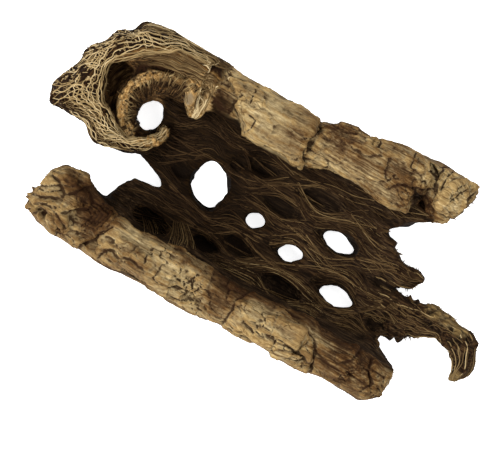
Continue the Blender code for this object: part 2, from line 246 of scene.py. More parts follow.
def layered_hills(points, size, seed, layers):
    total = np.zeros(len(points))
    for layer in range(layers):
        total += hills(points, np.asarray(size, float) / 2 ** layer, seed + layer) / 2 ** layer
    return total / (2 - 2 / 2 ** layers)


print("noise ready:", hills(np.array([[1.0, 2.0, 3.0]]), 4.0, 1).round(3))

# %% [markdown]
# ## The chunk's own lines
# These are the drawn lines that the details follow: the inner edges of both rims, the lens shaped
# holes and pits between the strands, the knot's band and inner wall, and the two prongs. They are
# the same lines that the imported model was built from.

# %% The chunk's own lines
INNER_LOW = (
    (-94, -22), (-75, -23), (-63, -28), (-46.5, -32.5), (-25, -30), (16.7, -29.2), (39, -27.8),
    (57.5, -26), (65.5, -21.5), (80, -22),
)
INNER_HIGH = (
    (-50, 26), (-34, 24.5), (2, 25.5), (5, 26), (12, 26.5), (28, 28), (51, 31.5), (54, 36), (58, 35),
    (76, 30),
)
# Lens shaped gaps: middle, length, width and turn in degrees
GAPS = (
    ((-28, -0.5), 22.5, 17, -62), ((-3.5, -4), 10.5, 9, 20), ((17, -9), 12.5, 9.5, 15),
    ((33.5, 6), 18.5, 9, -6), ((43.5, -15), 19, 9.4, 7), ((-41, -1), 13, 8, 10),
    ((-12, 17), 20, 9, 10), ((3, 7), 23, 10, 5), ((18, 18), 23, 9, 0), ((-17, -24.5), 14, 8, 15),
    ((-4, -17.5), 17, 8.5, -5), ((20, -24), 21, 9, -8), ((58, 0), 15, 9, 0), ((64, -15), 14, 10, 0),
    ((-22, 14), 12, 8, 60),
)
# The knot's outer band: inner edge, outer edge and height of its crest
BAND = (
    ((-45, 38), (-44, 48.5), 52), ((-58, 39.5), (-57, 48.5), 52),
    ((-68, 38.5), (-69, 49), 53), ((-76, 35.5), (-78.5, 48), 53), ((-80, 33.5), (-86.5, 46.5), 52),
    ((-82.5, 31.5), (-89, 39.5), 50.5), ((-86, 28.5), (-95.5, 37), 49), ((-88.5, 25.5), (-98, 31), 48),
    ((-90, 22), (-102, 26.5), 47), ((-89.5, 17), (-102.5, 17), 45), ((-87, 12), (-108.5, 4), 42),
    ((-84, 8), (-106, -4), 39), ((-79, 4.5), (-88, -4), 37),
    ((-75, 1.5), (-80, -10), 35), ((-68, -0.5), (-67, -7), 31), ((-62, 3), (-58, -4), 27),
    ((-58, 8), (-51.5, 5), 24), ((-57, 12), (-52, 13), 21),
)
# The band's section: share of its width, share of its crest's height and height added to it
BAND_SECTION = (
    (-0.05, 0, 14), (0.0, 1, -10), (0.06, 1, -2), (0.3, 1, 0), (0.62, 1, -3), (0.88, 0.72, 0),
    (1.0, 0.5, 0), (0.92, 0.3, 0),
)
# The band's inner face where it slopes down: crest, foot, height of the crest and drop to the foot
BAND_SLOPE = (
    ((-46, 41), (-46, 36.5), 50), ((-58, 42), (-57.5, 35.5), 51.5), ((-68, 42), (-67.5, 34), 52),
    ((-75, 39.5), (-72.5, 32.5), 51.5), ((-80.5, 35.5), (-77.5, 30), 50), ((-85.5, 30), (-83, 27), 47),
)
BAND_SLOPE_DROP = 14.0
# The ribbed inner wall round the knot's hollow: middle and height of its crest
INNER_WALL = (
    ((-49, 32), 41), ((-60, 33), 43), ((-67, 31), 43), ((-73, 28), 41), ((-77, 24), 39),
    ((-79, 18), 36), ((-78, 10), 32), ((-74, 4), 28), ((-68, 1), 25),
)
HOLLOW_MIDDLE = np.array([-65.0, 12.5])
# Prongs: middle line, half width and half height
HOOK = (
    ((58, -9, 9), 6, 5), ((70, -8.5, 9), 7.5, 5.5), ((80, -6, 11), 7, 6), ((88, -4, 14), 6.4, 6),
    ((95, -4.5, 16), 6.2, 5.5), ((100.5, -6.5, 18), 6.2, 5), ((103.5, -10.5, 18.5), 6, 4.8),
    ((104.5, -14, 18), 5.4, 4.4), ((104.8, -18, 17), 4.2, 3.6), ((105, -21.5, 16), 2.2, 2.2),
)
MIDDLE_PRONG = (
    ((48, 8, 9), 5, 5), ((60, 7.5, 10), 5.2, 5), ((67, 7.5, 12), 4, 4.5), ((72.5, 9.5, 14), 1.4, 2),
)
CURL_TIP = (
    ((-54, 37, 37), 5, 5), ((-51.5, 31.5, 37), 5.5, 5), ((-49.5, 26.5, 34.5), 4.6, 4),
    ((-48, 21.5, 31.5), 3.2, 3), ((-47.2, 17.5, 29.5), 1.4, 1.6),
)


def value_at(pairs, x):
    """Reads a line through (x, value) pairs."""
    places, values = np.array(pairs, float).T
    return np.interp(x, places, values)


def polar(points):
    """Turn round the knot's hollow in radians, and distance from it."""
    away = points[:, :2] - HOLLOW_MIDDLE
    return np.arctan2(away[:, 1], -away[:, 0]), np.linalg.norm(away, axis=1)


def round_table(places, values):
    """(turn, value) and (turn, distance) pairs in rising order, for lines round the hollow."""
    turn, distance = polar(np.array(places, float))
    order = np.argsort(turn)
    by_value = np.stack([turn[order], np.asarray(values, float)[order]], 1)
    by_distance = np.stack([turn[order], distance[order]], 1)
    return by_value, by_distance


_, band_reach = round_table([inner for inner, _, _ in BAND], [top for _, _, top in BAND])
wall_crest, wall_reach = round_table([middle for middle, _ in INNER_WALL], [top for _, top in INNER_WALL])
_, slope_crest = round_table([crest for crest, _, _ in BAND_SLOPE], [top for _, _, top in BAND_SLOPE])
_, slope_foot = round_table([foot for _, foot, _ in BAND_SLOPE], [top for _, _, top in BAND_SLOPE])
print("gaps:", len(GAPS), "band stations:", len(BAND))

# %% [markdown]
# ## The wood's skin
# The real chunk grew as one piece, so one mesh stands for it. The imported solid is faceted. A voxel
# remesh turns it into an even skin that is fine enough for relief, and a few rounds of smoothing
# take the facets away. It is one mesh because a seam would show where none grew.

# %% The wood's skin
SKIN_SIZE = 0.66
SMOOTH_ROUNDS, SMOOTH_STRENGTH = 7, 0.5


def applied(thing):
    """Gives back the mesh with its modifiers applied."""
    graph = bpy.context.evaluated_depsgraph_get()
    mesh = bpy.data.meshes.new_from_object(thing.evaluated_get(graph))
    thing.modifiers.clear()
    thing.data = mesh
    return mesh


def vertex_values(mesh, what):
    values = np.empty(len(mesh.vertices) * 3)
    mesh.vertices.foreach_get(what, values)
    return values.reshape(-1, 3)


wood = bpy.data.objects.new("trunk_wood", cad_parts["cholla_wood"].data.copy())
bpy.context.collection.objects.link(wood)
skin = wood.modifiers.new("even_skin", "REMESH")
skin.mode = "VOXEL"
skin.voxel_size = SKIN_SIZE * MM
skin.use_smooth_shade = True
soften = wood.modifiers.new("soften_facets", "SMOOTH")
soften.factor = SMOOTH_STRENGTH
soften.iterations = SMOOTH_ROUNDS
applied(wood)
points = to_drawing(vertex_values(wood.data, "co"))
facing = vertex_values(wood.data, "normal")
print("skin faces:", len(wood.data.polygons))

# %% [markdown]
# ## Where the skin is rim, floor, knot or back
# The rims and the outside are pale up to a line along each rim, and the trough's inside is dark. The
# knot has a grain of its own that runs round its hollow. Its band slopes down inwards to a nearly
# black channel, and behind that stands the golden crest of the inner wall. Each vertex gets these
# shares from its place and the way that it faces. They steer the relief now and the colours later.

# %% Where the skin is rim, floor, knot or back
TRUNK_AXIS_Z = 46.0
KNOT_RADIUS = 30.0
# Soft limits go from none to all of a kind of surface. The knot lies beyond these on -X and Y, and the
# floor under it beyond these on X and Y, up to its top
KNOT_X, KNOT_Y = (45.0, 48.0), (-11.5, -8.5)
KNOT_FLOOR_X, KNOT_FLOOR_Y, KNOT_FLOOR_TOP = (-64.0, -61.0), (-40.0, -39.0), 20.5
# The prongs lie beyond these on X and nearer than these to their middle, as minus distances. The horn
# lies beyond these on -X and -Y
PRONGS_X, PRONGS_Y, PRONGS_MIDDLE_Y = (58.0, 66.0), (-22.0, -19.0), -4
HORN_X, HORN_Y = (58.0, 62.0), (20.0, 24.0)
# Tops of the dark trough, of its walls under the rims' edges and of the deep shade on its floor
TROUGH_TOP, WALLS_TOP, SUNK_TOP = 47.0, 37.0, 15.5
# The back's own wood ends between these heights
BACK_ENDS = (26.0, 40.0)


def unit(vectors):
    return vectors / np.maximum(np.linalg.norm(vectors, axis=-1, keepdims=True), 1e-9)


def beyond_prong(points, stations):
    """Distance of each point from a prong's surface, in mm, negative inside it."""
    nearest = np.full(len(points), 99.0)
    for (start, start_radius, _), (end, end_radius, _) in zip(stations, stations[1:]):
        start, along = np.array(start, float), np.array(end, float) - start
        reach = np.clip((points - start) @ along / (along @ along), 0.0, 1.0)
        away = np.linalg.norm(points - start - reach[:, None] * along, axis=1)
        nearest = np.minimum(nearest, away - start_radius - reach * (end_radius - start_radius))
    return nearest


def knot_zones(points, wander):
    """Shares of the knot, its channel, its band's sloping face and its inner wall's crest."""
    x, y, z = points.T
    turn, distance = polar(points)
    knot_floor = ramp(x, *KNOT_FLOOR_X) * ramp(KNOT_FLOOR_TOP - z, 0.0, 2.5) * ramp(y, *KNOT_FLOOR_Y)
    knot = ramp(-x + wander, *KNOT_X) * ramp(y, *KNOT_Y) * (1 - knot_floor)
    on_slope = ramp(turn, slope_foot[0, 0] - 0.25, slope_foot[0, 0] + 0.1)
    foot = value_at(slope_foot, turn) * on_slope + value_at(band_reach, turn) * (1 - on_slope)
    channel = ramp(foot - distance, -0.5, 1.5) * ramp(value_at(wall_crest, turn) - 4.0 - z, 0.0, 5.0)
    face = ramp(distance - foot, -1.0, 0.5) * ramp(value_at(slope_crest, turn) - distance, -0.8, 0.8)
    crest = ramp(2.8 - np.abs(distance - value_at(wall_reach, turn) + 1.0), 0.0, 1.2)
    crest *= ramp(z - value_at(wall_crest, turn), -6.0, -3.0)
    return {
        "knot": knot, "knot_floor": knot_floor, "channel": channel * knot, "face": face * on_slope * knot,
        "crest": crest * knot,
    }


def zones(points, facing):
    """Shares from 0 to 1 for each kind of surface."""
    x, y, z = points.T
    wander = layered_hills(points, (9.0, 7.0, 7.0), 5, 2)
    to_axis = np.stack([0 * y, -y, TRUNK_AXIS_Z - z], 1)
    inward = (unit(to_axis) * facing).sum(1)
    zone = knot_zones(points, wander)

    torn = 0.7 * layered_hills(points, 2.6, 9, 2)
    past_low = ramp(y - value_at(INNER_LOW, x) + 1.4 * wander + torn, -0.2, 0.7)
    past_high = ramp(value_at(INNER_HIGH, x) - y + 0.6 * wander + torn, -0.5, 0.5)
    between = past_low * past_high * ramp(TROUGH_TOP - z, 0.0, 3.0)
    under_edge = ramp(inward, 0.5, 0.75) * ramp(WALLS_TOP - z, 0.0, 3.0)
    inside = np.maximum(between, under_edge) * (1 - zone["knot"])
    zone["inside"] = inside
    zone["prongs"] = ramp(x, *PRONGS_X) * ramp(-np.abs(y - PRONGS_MIDDLE_Y), *PRONGS_Y)
    zone["back"] = ramp(-inward, 0.35, 0.8) * (1 - ramp(z, *BACK_ENDS)) * (1 - inside)
    zone["horn"] = ramp(-x, *HORN_X) * ramp(-y, *HORN_Y)
    zone["sunk"] = np.maximum(inside, zone["knot_floor"]) * ramp(SUNK_TOP - z, 0.0, 8.0)
    turned_down = ramp(0.3 - facing[:, 2], 0.0, 0.3)
    zone["under"] = turned_down * ramp(np.abs(y), 34.0, 37.0) * ramp(wander, -0.5, 0.1)
    zone["tip"] = ramp(2.0 - beyond_prong(points, CURL_TIP), 0.0, 1.5) * ramp(z, 21.0, 24.0)
    return zone


def grain_places(points, knot):
    """Places along the grain and across it, in mm. In the knot the grain runs round the hollow."""
    turn, distance = polar(points)
    round_knot = np.stack([turn * KNOT_RADIUS, distance, points[:, 2]], 1)
    return np.where(knot[:, None] > 0.5, round_knot, points)


zone = zones(points, facing)
grain = grain_places(points, zone["knot"])
print("share of the skin:", {name: round(float(share.mean()), 3) for name, share in zone.items()})

# %% [markdown]
# ## Relief of the rims
# Old cholla wood breaks like stacked bricks: it splits along the grain, and cracks across it into
# blocks that stand a little higher or lower. Flakes leave steps with soft outlines. The height is
# the sum of steps, blocks, cross cracks and fine grain lines, each from the noise above. The large
# cracks, the broken edges of plates and a stack of thin layers are drawn as lines, because the eye
# knows this chunk by them.

# %% Relief of the rims
LOW_RIM_MIDDLE = (-41.0, 34.0)
HIGH_RIM_MIDDLE = (38.0, 38.0)
RIM_RADIUS = 13.0
BLOCK_SIZE = (15.0, 6.5)
CHIP_SIZE = (5.0, 2.4)
CRACK_WIDTH = 0.4
# Large steps, flakes, grain lines and crumbs: their size along the trunk, round the rim and in depth
STEP_SIZE, FLAKE_SIZE = (19.0, 9.0, 9.0), (6.0, 3.4, 3.4)
LINE_SIZE, CRUMB_SIZE = (16.0, 1.0, 4.0), (2.2, 1.8, 1.8)
# How high they are raised, and how deep the small cracks and the drawn ones go
STEP_HEIGHT, FLAKE_HEIGHT, LINE_HEIGHT, CRUMB_HEIGHT = 1.1, 0.45, 0.26, 0.32
CRACK_DEPTH, DRAWN_CRACK_DEPTH = 0.9, 1.6
# Drawn cracks: width, depth share and points
DRAWN_CRACKS = (
    (1.1, 1.0, ((-0.9, 49), (0.9, 43.3), (0.4, 37.9), (-0.1, 33.5), (1, 29), (4, 25))),
    (0.6, 0.7, ((-3.6, 35.5), (-2.6, 36.1), (0, 38.6))),
    (0.7, 0.8, ((-30.7, 46), (-30.1, 38.6))),
    (0.8, 0.65, ((-27.9, 33.8), (-24.6, 32.6), (-24.4, 28.7), (-26, 26.2))),
    (0.6, 0.6, ((37.1, 41.7), (41.2, 39.9), (38.2, 36.2))), (0.6, 0.7, ((44.6, 35.8), (48.7, 33))),
    (0.6, 0.7, ((22.3, 50.5), (24, 49.4))), (0.7, 0.8, ((24.2, 52.6), (26.5, 51), (26, 48.6))),
    (0.7, 0.8, ((42.6, 47.9), (41.4, 55.4))),
    (1.2, 0.9, ((49, 54.7), (53.5, 52.2), (55.1, 45.9), (59.2, 39.7))),
    (0.8, 1.0, ((54.4, 50.6), (55.3, 56.2), (59.5, 57.7))),
    (0.9, 1.0, ((57.8, 46.5), (58.2, 52.9), (60, 57))), (0.6, 0.8, ((63.8, 42.9), (68.4, 54.6))),
    (0.6, 0.7, ((64.5, 50.2), (68.6, 59.5))),
    (0.7, 0.8, ((36.9, 38.2), (38.4, 42.2), (40.6, 41.4))),
    (0.7, 0.9, ((44.8, 40), (47.6, 37.7), (47.9, 34.4))),
    (0.6, 0.8, ((42.3, 37.7), (45.2, 35.9))),
    (0.7, 0.8, ((21.6, 50.9), (24.3, 48.4), (24.7, 50.8))),
    (2.6, 1.0, ((-83.4, -46.3), (-79.6, -46.4), (-76.2, -48.3))),
    (0.8, 0.9, ((-91.6, -43.1), (-85.4, -43.1), (-81.2, -39.7))),
    (0.9, 1.0, ((-86.9, -46.6), (-82.9, -44.3), (-77.4, -46.3), (-72.7, -49.8))),
    (0.6, 0.7, ((-92.1, -39.2), (-86.1, -37.7), (-81.4, -34))),
    (1.1, 1.0, ((-62.8, -50.2), (-60.8, -49.1), (-58, -43.1), (-54.6, -36.7))),
    (0.8, 0.8, ((-67.7, -35.5), (-62, -39.7), (-58.3, -41.7), (-54.6, -36.7))),
    (0.9, 0.8, ((-53.5, -51), (-52.4, -46.9), (-49.1, -45), (-43, -44.9), (-38.8, -44.4))),
    (0.8, 0.8, ((-34.7, -43.8), (-35.7, -39))),
    (0.9, 1.0, ((-13.1, -46.2), (-12, -42.1), (-14.1, -39.8), (-13, -35.5))),
    (0.6, 0.8, ((-20.6, -41.8), (-16.3, -42.4), (-12.1, -39.4))),
    (0.8, 1.0, ((-14.3, -47.6), (-9.3, -40.8))), (0.8, 0.5, ((7.1, -47.8), (6.8, -43.8), (9.7, -37.8))),
    (0.8, 0.9, ((30.4, -48.1), (29.8, -43.2), (25.7, -43.4), (20.5, -45.3), (13.7, -43.8))),
    (0.8, 0.9, ((29.8, -43.2), (38.4, -43.5), (47.1, -43.8))),
    (0.9, 0.8, ((49.8, -48.6), (47.9, -43.3), (44.6, -36.8), (39.5, -34.3))),
    (1.0, 0.9, ((72.6, -45.9), (76.1, -42.8), (71.7, -37), (69.3, -31))),
)
# Broken edges of plates and blocks: height of the step, reach of the raised plate behind it, and the
# edge's points, with the raised side on their left
DRAWN_EDGES = (
    (1.9, 9, ((-86.2, -30.3), (-82.3, -31.6), (-78.7, -33.7), (-75.3, -30), (-71.9, -26.7))),
    (1.8, 8, ((-75.6, -41.6), (-72, -37.2), (-67.3, -35.4), (-67.8, -32), (-70.4, -29.1))),
    (1.7, 5, ((-92.8, -41.3), (-87.9, -40.3), (-82.1, -37.4))),
    (1.6, 5, ((-91, -44.1), (-87.3, -42.8), (-83.1, -41.7), (-78.3, -40.9))),
    (2.2, 6, ((-87.3, -48.1), (-85.1, -44.4), (-81.2, -44.6), (-76.6, -46.8), (-72.5, -49))),
    (1.6, 4, ((-88.7, -46.5), (-85.9, -43), (-81.1, -42.1), (-76.5, -43.6), (-72.6, -46.2))),
    (1.6, 9, ((-63.2, -51.8), (-62.3, -49.1), (-59.8, -45.9), (-58.2, -42.1))),
    (1.2, 8, ((-53.5, -50.9), (-53, -47.3), (-51.3, -44.9), (-45.3, -46.1), (-41.7, -43.9), (-33.4, -45.8))),
    (0.5, 9, ((-5.8, -41.3), (-7.6, -38.9), (-7.4, -34.3), (-8.8, -29.9), (-12.2, -27.9))),
    (0.9, 10, ((10.5, -31.7), (7.3, -38), (7.8, -43.9), (7.8, -48.7))),
    (1.4, 10, ((48.5, -49), (47.2, -43.7), (45.9, -39.2), (43.1, -35.5), (37.8, -33.3), (24.5, -31.2))),
    (1.2, 6, ((14.3, -43.9), (20.5, -45.4), (27.8, -43.5), (35.2, -43.4), (41.6, -43.5), (47.3, -44.3))),
    (1.2, 5, ((13.4, -49.2), (20.3, -47.8), (26.9, -49.1), (34.2, -50.4))),
    (1.0, 6, ((47.2, -38.6), (53.5, -40.3), (59.3, -40.7), (63.2, -43.4))),
    (1.2, 7, ((59.3, -37.2), (61.7, -34.3), (62.4, -29.6), (62.1, -25))),
    (1.4, 7, ((70.2, -30.4), (70.9, -34.8), (75.7, -39.4), (73.1, -44.8))),
    (1.2, 8, ((-34.5, 38.3), (-35.4, 33.6), (-35.7, 28.3), (-33.1, 23.1))),
    (0.9, 9, ((-25.5, 24.7), (-17, 25.6), (-7.1, 26.2), (3.8, 25.3))),
    (0.9, 6, ((-2.2, 46.4), (-11.9, 46.9), (-21.3, 47.3), (-31.6, 47.8))),
    (1.0, 9, ((4.1, 25.4), (0.8, 29.9), (-0.9, 36.1), (1.1, 40.3), (-1, 46.1))),
    (0.9, 6, ((42.3, 52.6), (33.8, 52.8), (22.1, 52.2), (12.4, 52.7), (7.5, 50.4), (3.3, 44.4))),
    (1.4, 9, ((51.6, 32.2), (50.9, 36.4), (47.5, 41.5))),
    (1.2, 7, ((44, 41.3), (50.5, 43.3), (55.1, 45.7), (53.8, 49.3), (50.7, 50.5))),
    (0.8, 7, ((17.7, 43.8), (22.7, 43.6), (28.3, 46.3), (24.7, 50.8))),
    (1.3, 9, ((59.7, 57.8), (58, 51.9), (56.8, 46.9), (59.4, 40.2), (62.2, 35.5))),
    (1.3, 6, ((70.1, 56.4), (66.4, 56.5), (62.2, 54.1), (60.4, 49.3), (59.7, 44.3))),
    (1.1, 4, ((57.4, 49.1), (58.3, 54.7), (60.6, 58.7))),
    (1.3, 5, ((70.9, 45.6), (70.5, 50.7), (71.9, 55.4))),
    (0.9, 5, ((38.7, 36.3), (41.3, 39.8), (45, 42.3))),
)
# The stack of thin bent layers on the low rim's inner edge, beside the horn: its foremost corner, the
# way that the corners point and the reach of the stack behind it and to both sides
LAYERS_CORNER = (-54.2, -30.7)
LAYERS_TURN = math.radians(30)
LAYERS_REACH, LAYERS_HALF_WIDTH = 14.0, 6.5
LAYER_BEND = 1.1
LAYER_THICKNESS, LAYER_HEIGHT = 2.2, 2.0
# Places where the rims are worn smooth: middle, half length and half width
SMOOTH_PLACES = (
    ((-14, 35), 17, 10), ((-82, -33), 9, 7), ((-72, -36), 9, 8), ((-60, -33), 9, 8), ((-44, -36), 8, 5),
    ((20, 40), 9, 9), ((10, -40), 9, 8), ((36, -33), 16, 4),
)


def around_rim(points, middle):
    """Millimetres round the rim's section."""
    return np.arctan2(points[:, 2] - middle[1], points[:, 1] - middle[0]) * RIM_RADIUS


def flake_steps(places, size, steps, seed):
    """Terraces: hills cut into flat steps with short slopes between them."""
    hill = layered_hills(places, size, seed, 3) * steps
    lower = np.floor(hill)
    return (lower + ramp(hill - lower, 0.42, 0.58)) / steps


def blocks(places, size, seed):
    """Broken blocks: height and tilt of each point's own block, and its distance from the edge."""
    size = np.array(size)
    flat = places[:, :2] / size
    corner = np.floor(flat).astype(np.int64)
    nearest = np.full(len(flat), 9.0)
    second = nearest.copy()
    height = np.zeros(len(flat))
    for step_x in (-1, 0, 1):
        for step_y in (-1, 0, 1):
            x, y = corner[:, 0] + step_x, corner[:, 1] + step_y
            chances = [hashed(x, y, number, seed) for number in range(5)]
            away_x = flat[:, 0] - x - 0.1 - 0.8 * chances[0]
            away_y = flat[:, 1] - y - 0.1 - 0.8 * chances[1]
            distance = (away_x ** 4 + away_y ** 4) ** 0.25
            tilt = (chances[3] - 0.5) * away_x + (chances[4] - 0.5) * away_y
            closer = distance < nearest
            second = np.where(closer, nearest, np.minimum(second, distance))
            height = np.where(closer, chances[2] - 0.5 + 1.2 * tilt, height)
            nearest = np.minimum(nearest, distance)
    return height, (second - nearest) * size.min()


def drawn_cracks(points):
    """How open the nearest drawn crack is at each point, from 0 to 1."""
    bend = np.stack([layered_hills(points, 4.0, 91, 3), layered_hills(points, 4.0, 96, 3)], 1)
    flat = points[:, :2] + 0.9 * bend
    opened = np.zeros(len(points))
    uneven = np.clip(0.9 + 0.9 * layered_hills(points, 3.0, 99, 2), 0.25, 1.6)
    for width, share, line in DRAWN_CRACKS:
        width = width * CRACK_WIDTH * uneven
        for start, end in zip(np.array(line[:-1], float), np.array(line[1:], float)):
            along = end - start
            reach = np.clip((flat - start) @ along / (along @ along), 0.0, 1.0)
            away = np.linalg.norm(flat - start - reach[:, None] * along, axis=1)
            opened = np.maximum(opened, share * np.exp(-(away / width) ** 2))
    return opened


def edge_step(flat, step, reach, line):
    """Height of a plate on the left of a line, with a small ditch just past its edge."""
    nearest, signed, beyond = np.full(len(flat), 99.0), np.zeros(len(flat)), np.zeros(len(flat))
    for start, end in zip(line[:-1], line[1:]):
        along = end - start
        length = np.linalg.norm(along)
        share = (flat - start) @ along / length ** 2
        offset = flat - start - np.clip(share, 0.0, 1.0)[:, None] * along
        away = np.linalg.norm(offset, axis=1)
        side = np.sign(along[0] * (flat[:, 1] - start[1]) - along[1] * (flat[:, 0] - start[0]))
        closer = away < nearest
        signed = np.where(closer, away * side, signed)
        beyond = np.where(closer, np.abs(share - np.clip(share, 0.0, 1.0)) * length, beyond)
        nearest = np.minimum(nearest, away)
    plate = ramp(signed, -0.35, 0.35) * (1 - ramp(signed, 0.3, reach))
    ditch = np.exp(-((signed + 0.8) / 0.7) ** 2)
    return step * (plate - 0.45 * ditch) * (1 - ramp(beyond, 0.0, 2.5))


def drawn_edges(points):
    """Steps of all the drawn edges, each worked out only near its own line."""
    bend = np.stack([layered_hills(points, 3.5, 31, 3), layered_hills(points, 3.5, 36, 3)], 1)
    flat = points[:, :2] + 0.9 * bend
    total = np.zeros(len(points))
    for step, reach, line in DRAWN_EDGES:
        line = np.array(line, float)
        near = (flat > line.min(0) - reach - 2).all(1) & (flat < line.max(0) + reach + 2).all(1)
        total[near] += edge_step(flat[near], step, reach, line)
    return total


def thin_layers(points):
    """A saw tooth across the stack of thin bent layers, and 0 outside it."""
    x, y = (points[:, :2] - LAYERS_CORNER).T
    ahead = x * math.cos(LAYERS_TURN) + y * math.sin(LAYERS_TURN)
    aside = y * math.cos(LAYERS_TURN) - x * math.sin(LAYERS_TURN)
    behind = -ahead - LAYER_BEND * np.abs(aside) + 0.9 * hills(points, (4.0, 4.0, 4.0), 95)
    tooth = (behind / LAYER_THICKNESS) % 1.0 - 0.5
    reach = ramp(behind, -0.2, 0.4) * ramp(LAYERS_REACH - behind, 0.0, 3.0)
    return tooth * reach * ramp(LAYERS_HALF_WIDTH - np.abs(aside), 0.0, 2.0)


def smooth_share(points):
    """1 in the middle of the places that are worn smooth, 0 away from them."""
    bend = 3.0 * np.stack([hills(points, 7.0, 66), hills(points, 7.0, 67)], 1)
    share = np.zeros(len(points))
    for middle, half_length, half_width in SMOOTH_PLACES:
        away = (points[:, :2] + bend - middle) / (half_length, half_width)
        share = np.maximum(share, ramp(1.5 - (away ** 2).sum(1), 0.0, 1.0))
    return share


def rim_relief(points, middle, seed):
    places = np.stack([points[:, 0], around_rim(points, middle), 0 * points[:, 0]], 1)
    bend = np.stack([layered_hills(points, 5.0, seed + axis, 2) for axis in (50, 53)], 1)
    bent = places[:, :2] + 1.3 * bend
    rough = 1 - 0.85 * smooth_share(points)
    block, block_edge = blocks(bent, BLOCK_SIZE, seed + 60)
    chip, chip_edge = blocks(bent, CHIP_SIZE, seed + 70)
    checked = rough * ramp(layered_hills(points, (11.0, 7.0, 7.0), seed + 80, 2), 0.15, 0.45)
    open_share = rough * ramp(hills(points, (9.0, 9.0, 9.0), seed + 81), 0.1, 0.6)
    crack = np.exp(-(block_edge / CRACK_WIDTH) ** 2) * open_share
    crack = np.maximum(crack, 0.8 * np.exp(-(chip_edge / (CRACK_WIDTH / 2)) ** 2) * checked)
    steps = flake_steps(places, STEP_SIZE, 4, seed + 10)
    flakes = rough * flake_steps(places, FLAKE_SIZE, 3, seed + 15)
    lines = layered_hills(places, LINE_SIZE, seed + 20, 2)
    crumbs = rough * layered_hills(points, CRUMB_SIZE, seed + 30, 2)
    height = STEP_HEIGHT * steps + FLAKE_HEIGHT * flakes
    height = height + (0.4 + 0.6 * rough) * block + (0.1 + 0.5 * checked) * chip
    return height - CRACK_DEPTH * crack + LINE_HEIGHT * lines + CRUMB_HEIGHT * crumbs, crack


low_relief, low_cracks = rim_relief(points, LOW_RIM_MIDDLE, 3)
high_relief, high_cracks = rim_relief(points, HIGH_RIM_MIDDLE, 57)
big_cracks = drawn_cracks(points) * ramp(points[:, 2], 24.0, 32.0) * (1 - zone["knot"])
edges = drawn_edges(points) * ramp(points[:, 2], 20.0, 28.0) * (1 - zone["knot"])
layers = thin_layers(points) * ramp(points[:, 2], 20.0, 26.0)
print("rim relief in mm:", high_relief.min().round(2), high_relief.max().round(2))

# %% [markdown]
# ## Relief of the floor, the knot and the back
# The floor is all strands: ridges drawn out along the trunk. The knot has fine ribs round its
# hollow, sunken cells under its net, and a knobbly crest on its inner wall. The horn at the low
# rim's left end has broken facets, and the prongs are knobbly. The back is worn smooth, with
# shallow weathered grain. The bottom stays flat, because the chunk rests on it.

# %% Relief of the floor, the knot and the back
FACET_SIZE, FACET_HEIGHT = (11.0, 8.0), 1.9
BEAD_SIZE, BEAD_HEIGHT = (4.6, 3.4), 1.6
# How high the knot's ribs and lumps are, and how deep its cells and the cracks between its beads
RIB_HEIGHT, LUMP_HEIGHT, CELL_DEPTH, BEAD_CRACK_DEPTH = 0.45, 0.8, 1.5, 0.8
# How high the strands of the floor and of the prongs are, and the prongs' knobs
FLOOR_RIDGE_HEIGHT, PRONG_RIDGE_HEIGHT, PRONG_KNOB_HEIGHT = 0.9, 0.7, 2.2
# The floor starts a little below the low rim's pale plates
EDGE_DROP, EDGE_DROP_REACH = 1.1, 3.0


def strand_relief(points, seed):
    """Ridges along the grain, which wander a little and run at two slight angles."""
    x, y, z = points.T
    wander = 2.2 * hills(points, (26.0, 14.0, 14.0), seed)
    total = np.zeros(len(points))
    for slope, size in ((-0.13, 2.0), (0.2, 2.6)):
        across = y + slope * x + wander
        places = np.stack([x, across, z], 1)
        total += layered_hills(places, (19.0, size, size * 1.5), seed + int(size * 10), 2)
    return total / 2


def knot_relief(grain, points, zone, seed):
    ribs = layered_hills(grain, (15.0, 1.3, 2.0), seed, 2)
    lumps = layered_hills(grain, (11.0, 6.0, 6.0), seed + 5, 2)
    cells = ramp(layered_hills(grain, (5.0, 1.9, 2.2), seed + 7, 2), 0.05, 0.45)
    knobs = layered_hills(points, 3.2, seed + 9, 2)
    bent = grain + 0.8 * layered_hills(points, 3.0, seed + 11, 2)[:, None]
    bead, bead_edge = blocks(bent, BEAD_SIZE, seed + 12)
    beads = (BEAD_HEIGHT * bead + 0.4 * knobs) * zone["crest"]
    bead_cracks = np.exp(-(bead_edge / 0.35) ** 2) * zone["crest"]
    open_net = 1 - np.maximum.reduce([zone["face"], zone["crest"], zone["channel"], zone["tip"]])
    height = RIB_HEIGHT * ribs + LUMP_HEIGHT * lumps - CELL_DEPTH * cells * open_net
    height = height + beads - BEAD_CRACK_DEPTH * bead_cracks
    return height, bead_cracks


inside_relief = FLOOR_RIDGE_HEIGHT * strand_relief(points, 11) + 0.4 * layered_hills(points, 7.0, 21, 3)
ring_relief, bead_cracks = knot_relief(grain, points, zone, 33)
worn_lines = layered_hills(points, (14.0, 2.2, 2.2), 71, 3)
back_relief = 0.5 * worn_lines + 0.4 * layered_hills(points, 6.0, 75, 2)
on_low_rim = points[:, 1] < 0
facet_places = points + 1.5 * layered_hills(points, 6.0, 47, 2)[:, None]
facets, _ = blocks(facet_places, FACET_SIZE, 48)
height = np.where(on_low_rim, low_relief, high_relief) - DRAWN_CRACK_DEPTH * big_cracks
height = height + LAYER_HEIGHT * layers + edges
height += FACET_HEIGHT * facets * zone["horn"]
past_edge = points[:, 1] - value_at(INNER_LOW, points[:, 0])
inside_relief -= EDGE_DROP * np.exp(-(past_edge / EDGE_DROP_REACH) ** 2)
knobbly = layered_hills(points, (6.0, 5.0, 5.0), 17, 3) + 0.9 * layered_hills(points, 3.0, 19, 2)
prong_relief = PRONG_RIDGE_HEIGHT * strand_relief(points, 15) + PRONG_KNOB_HEIGHT * knobbly
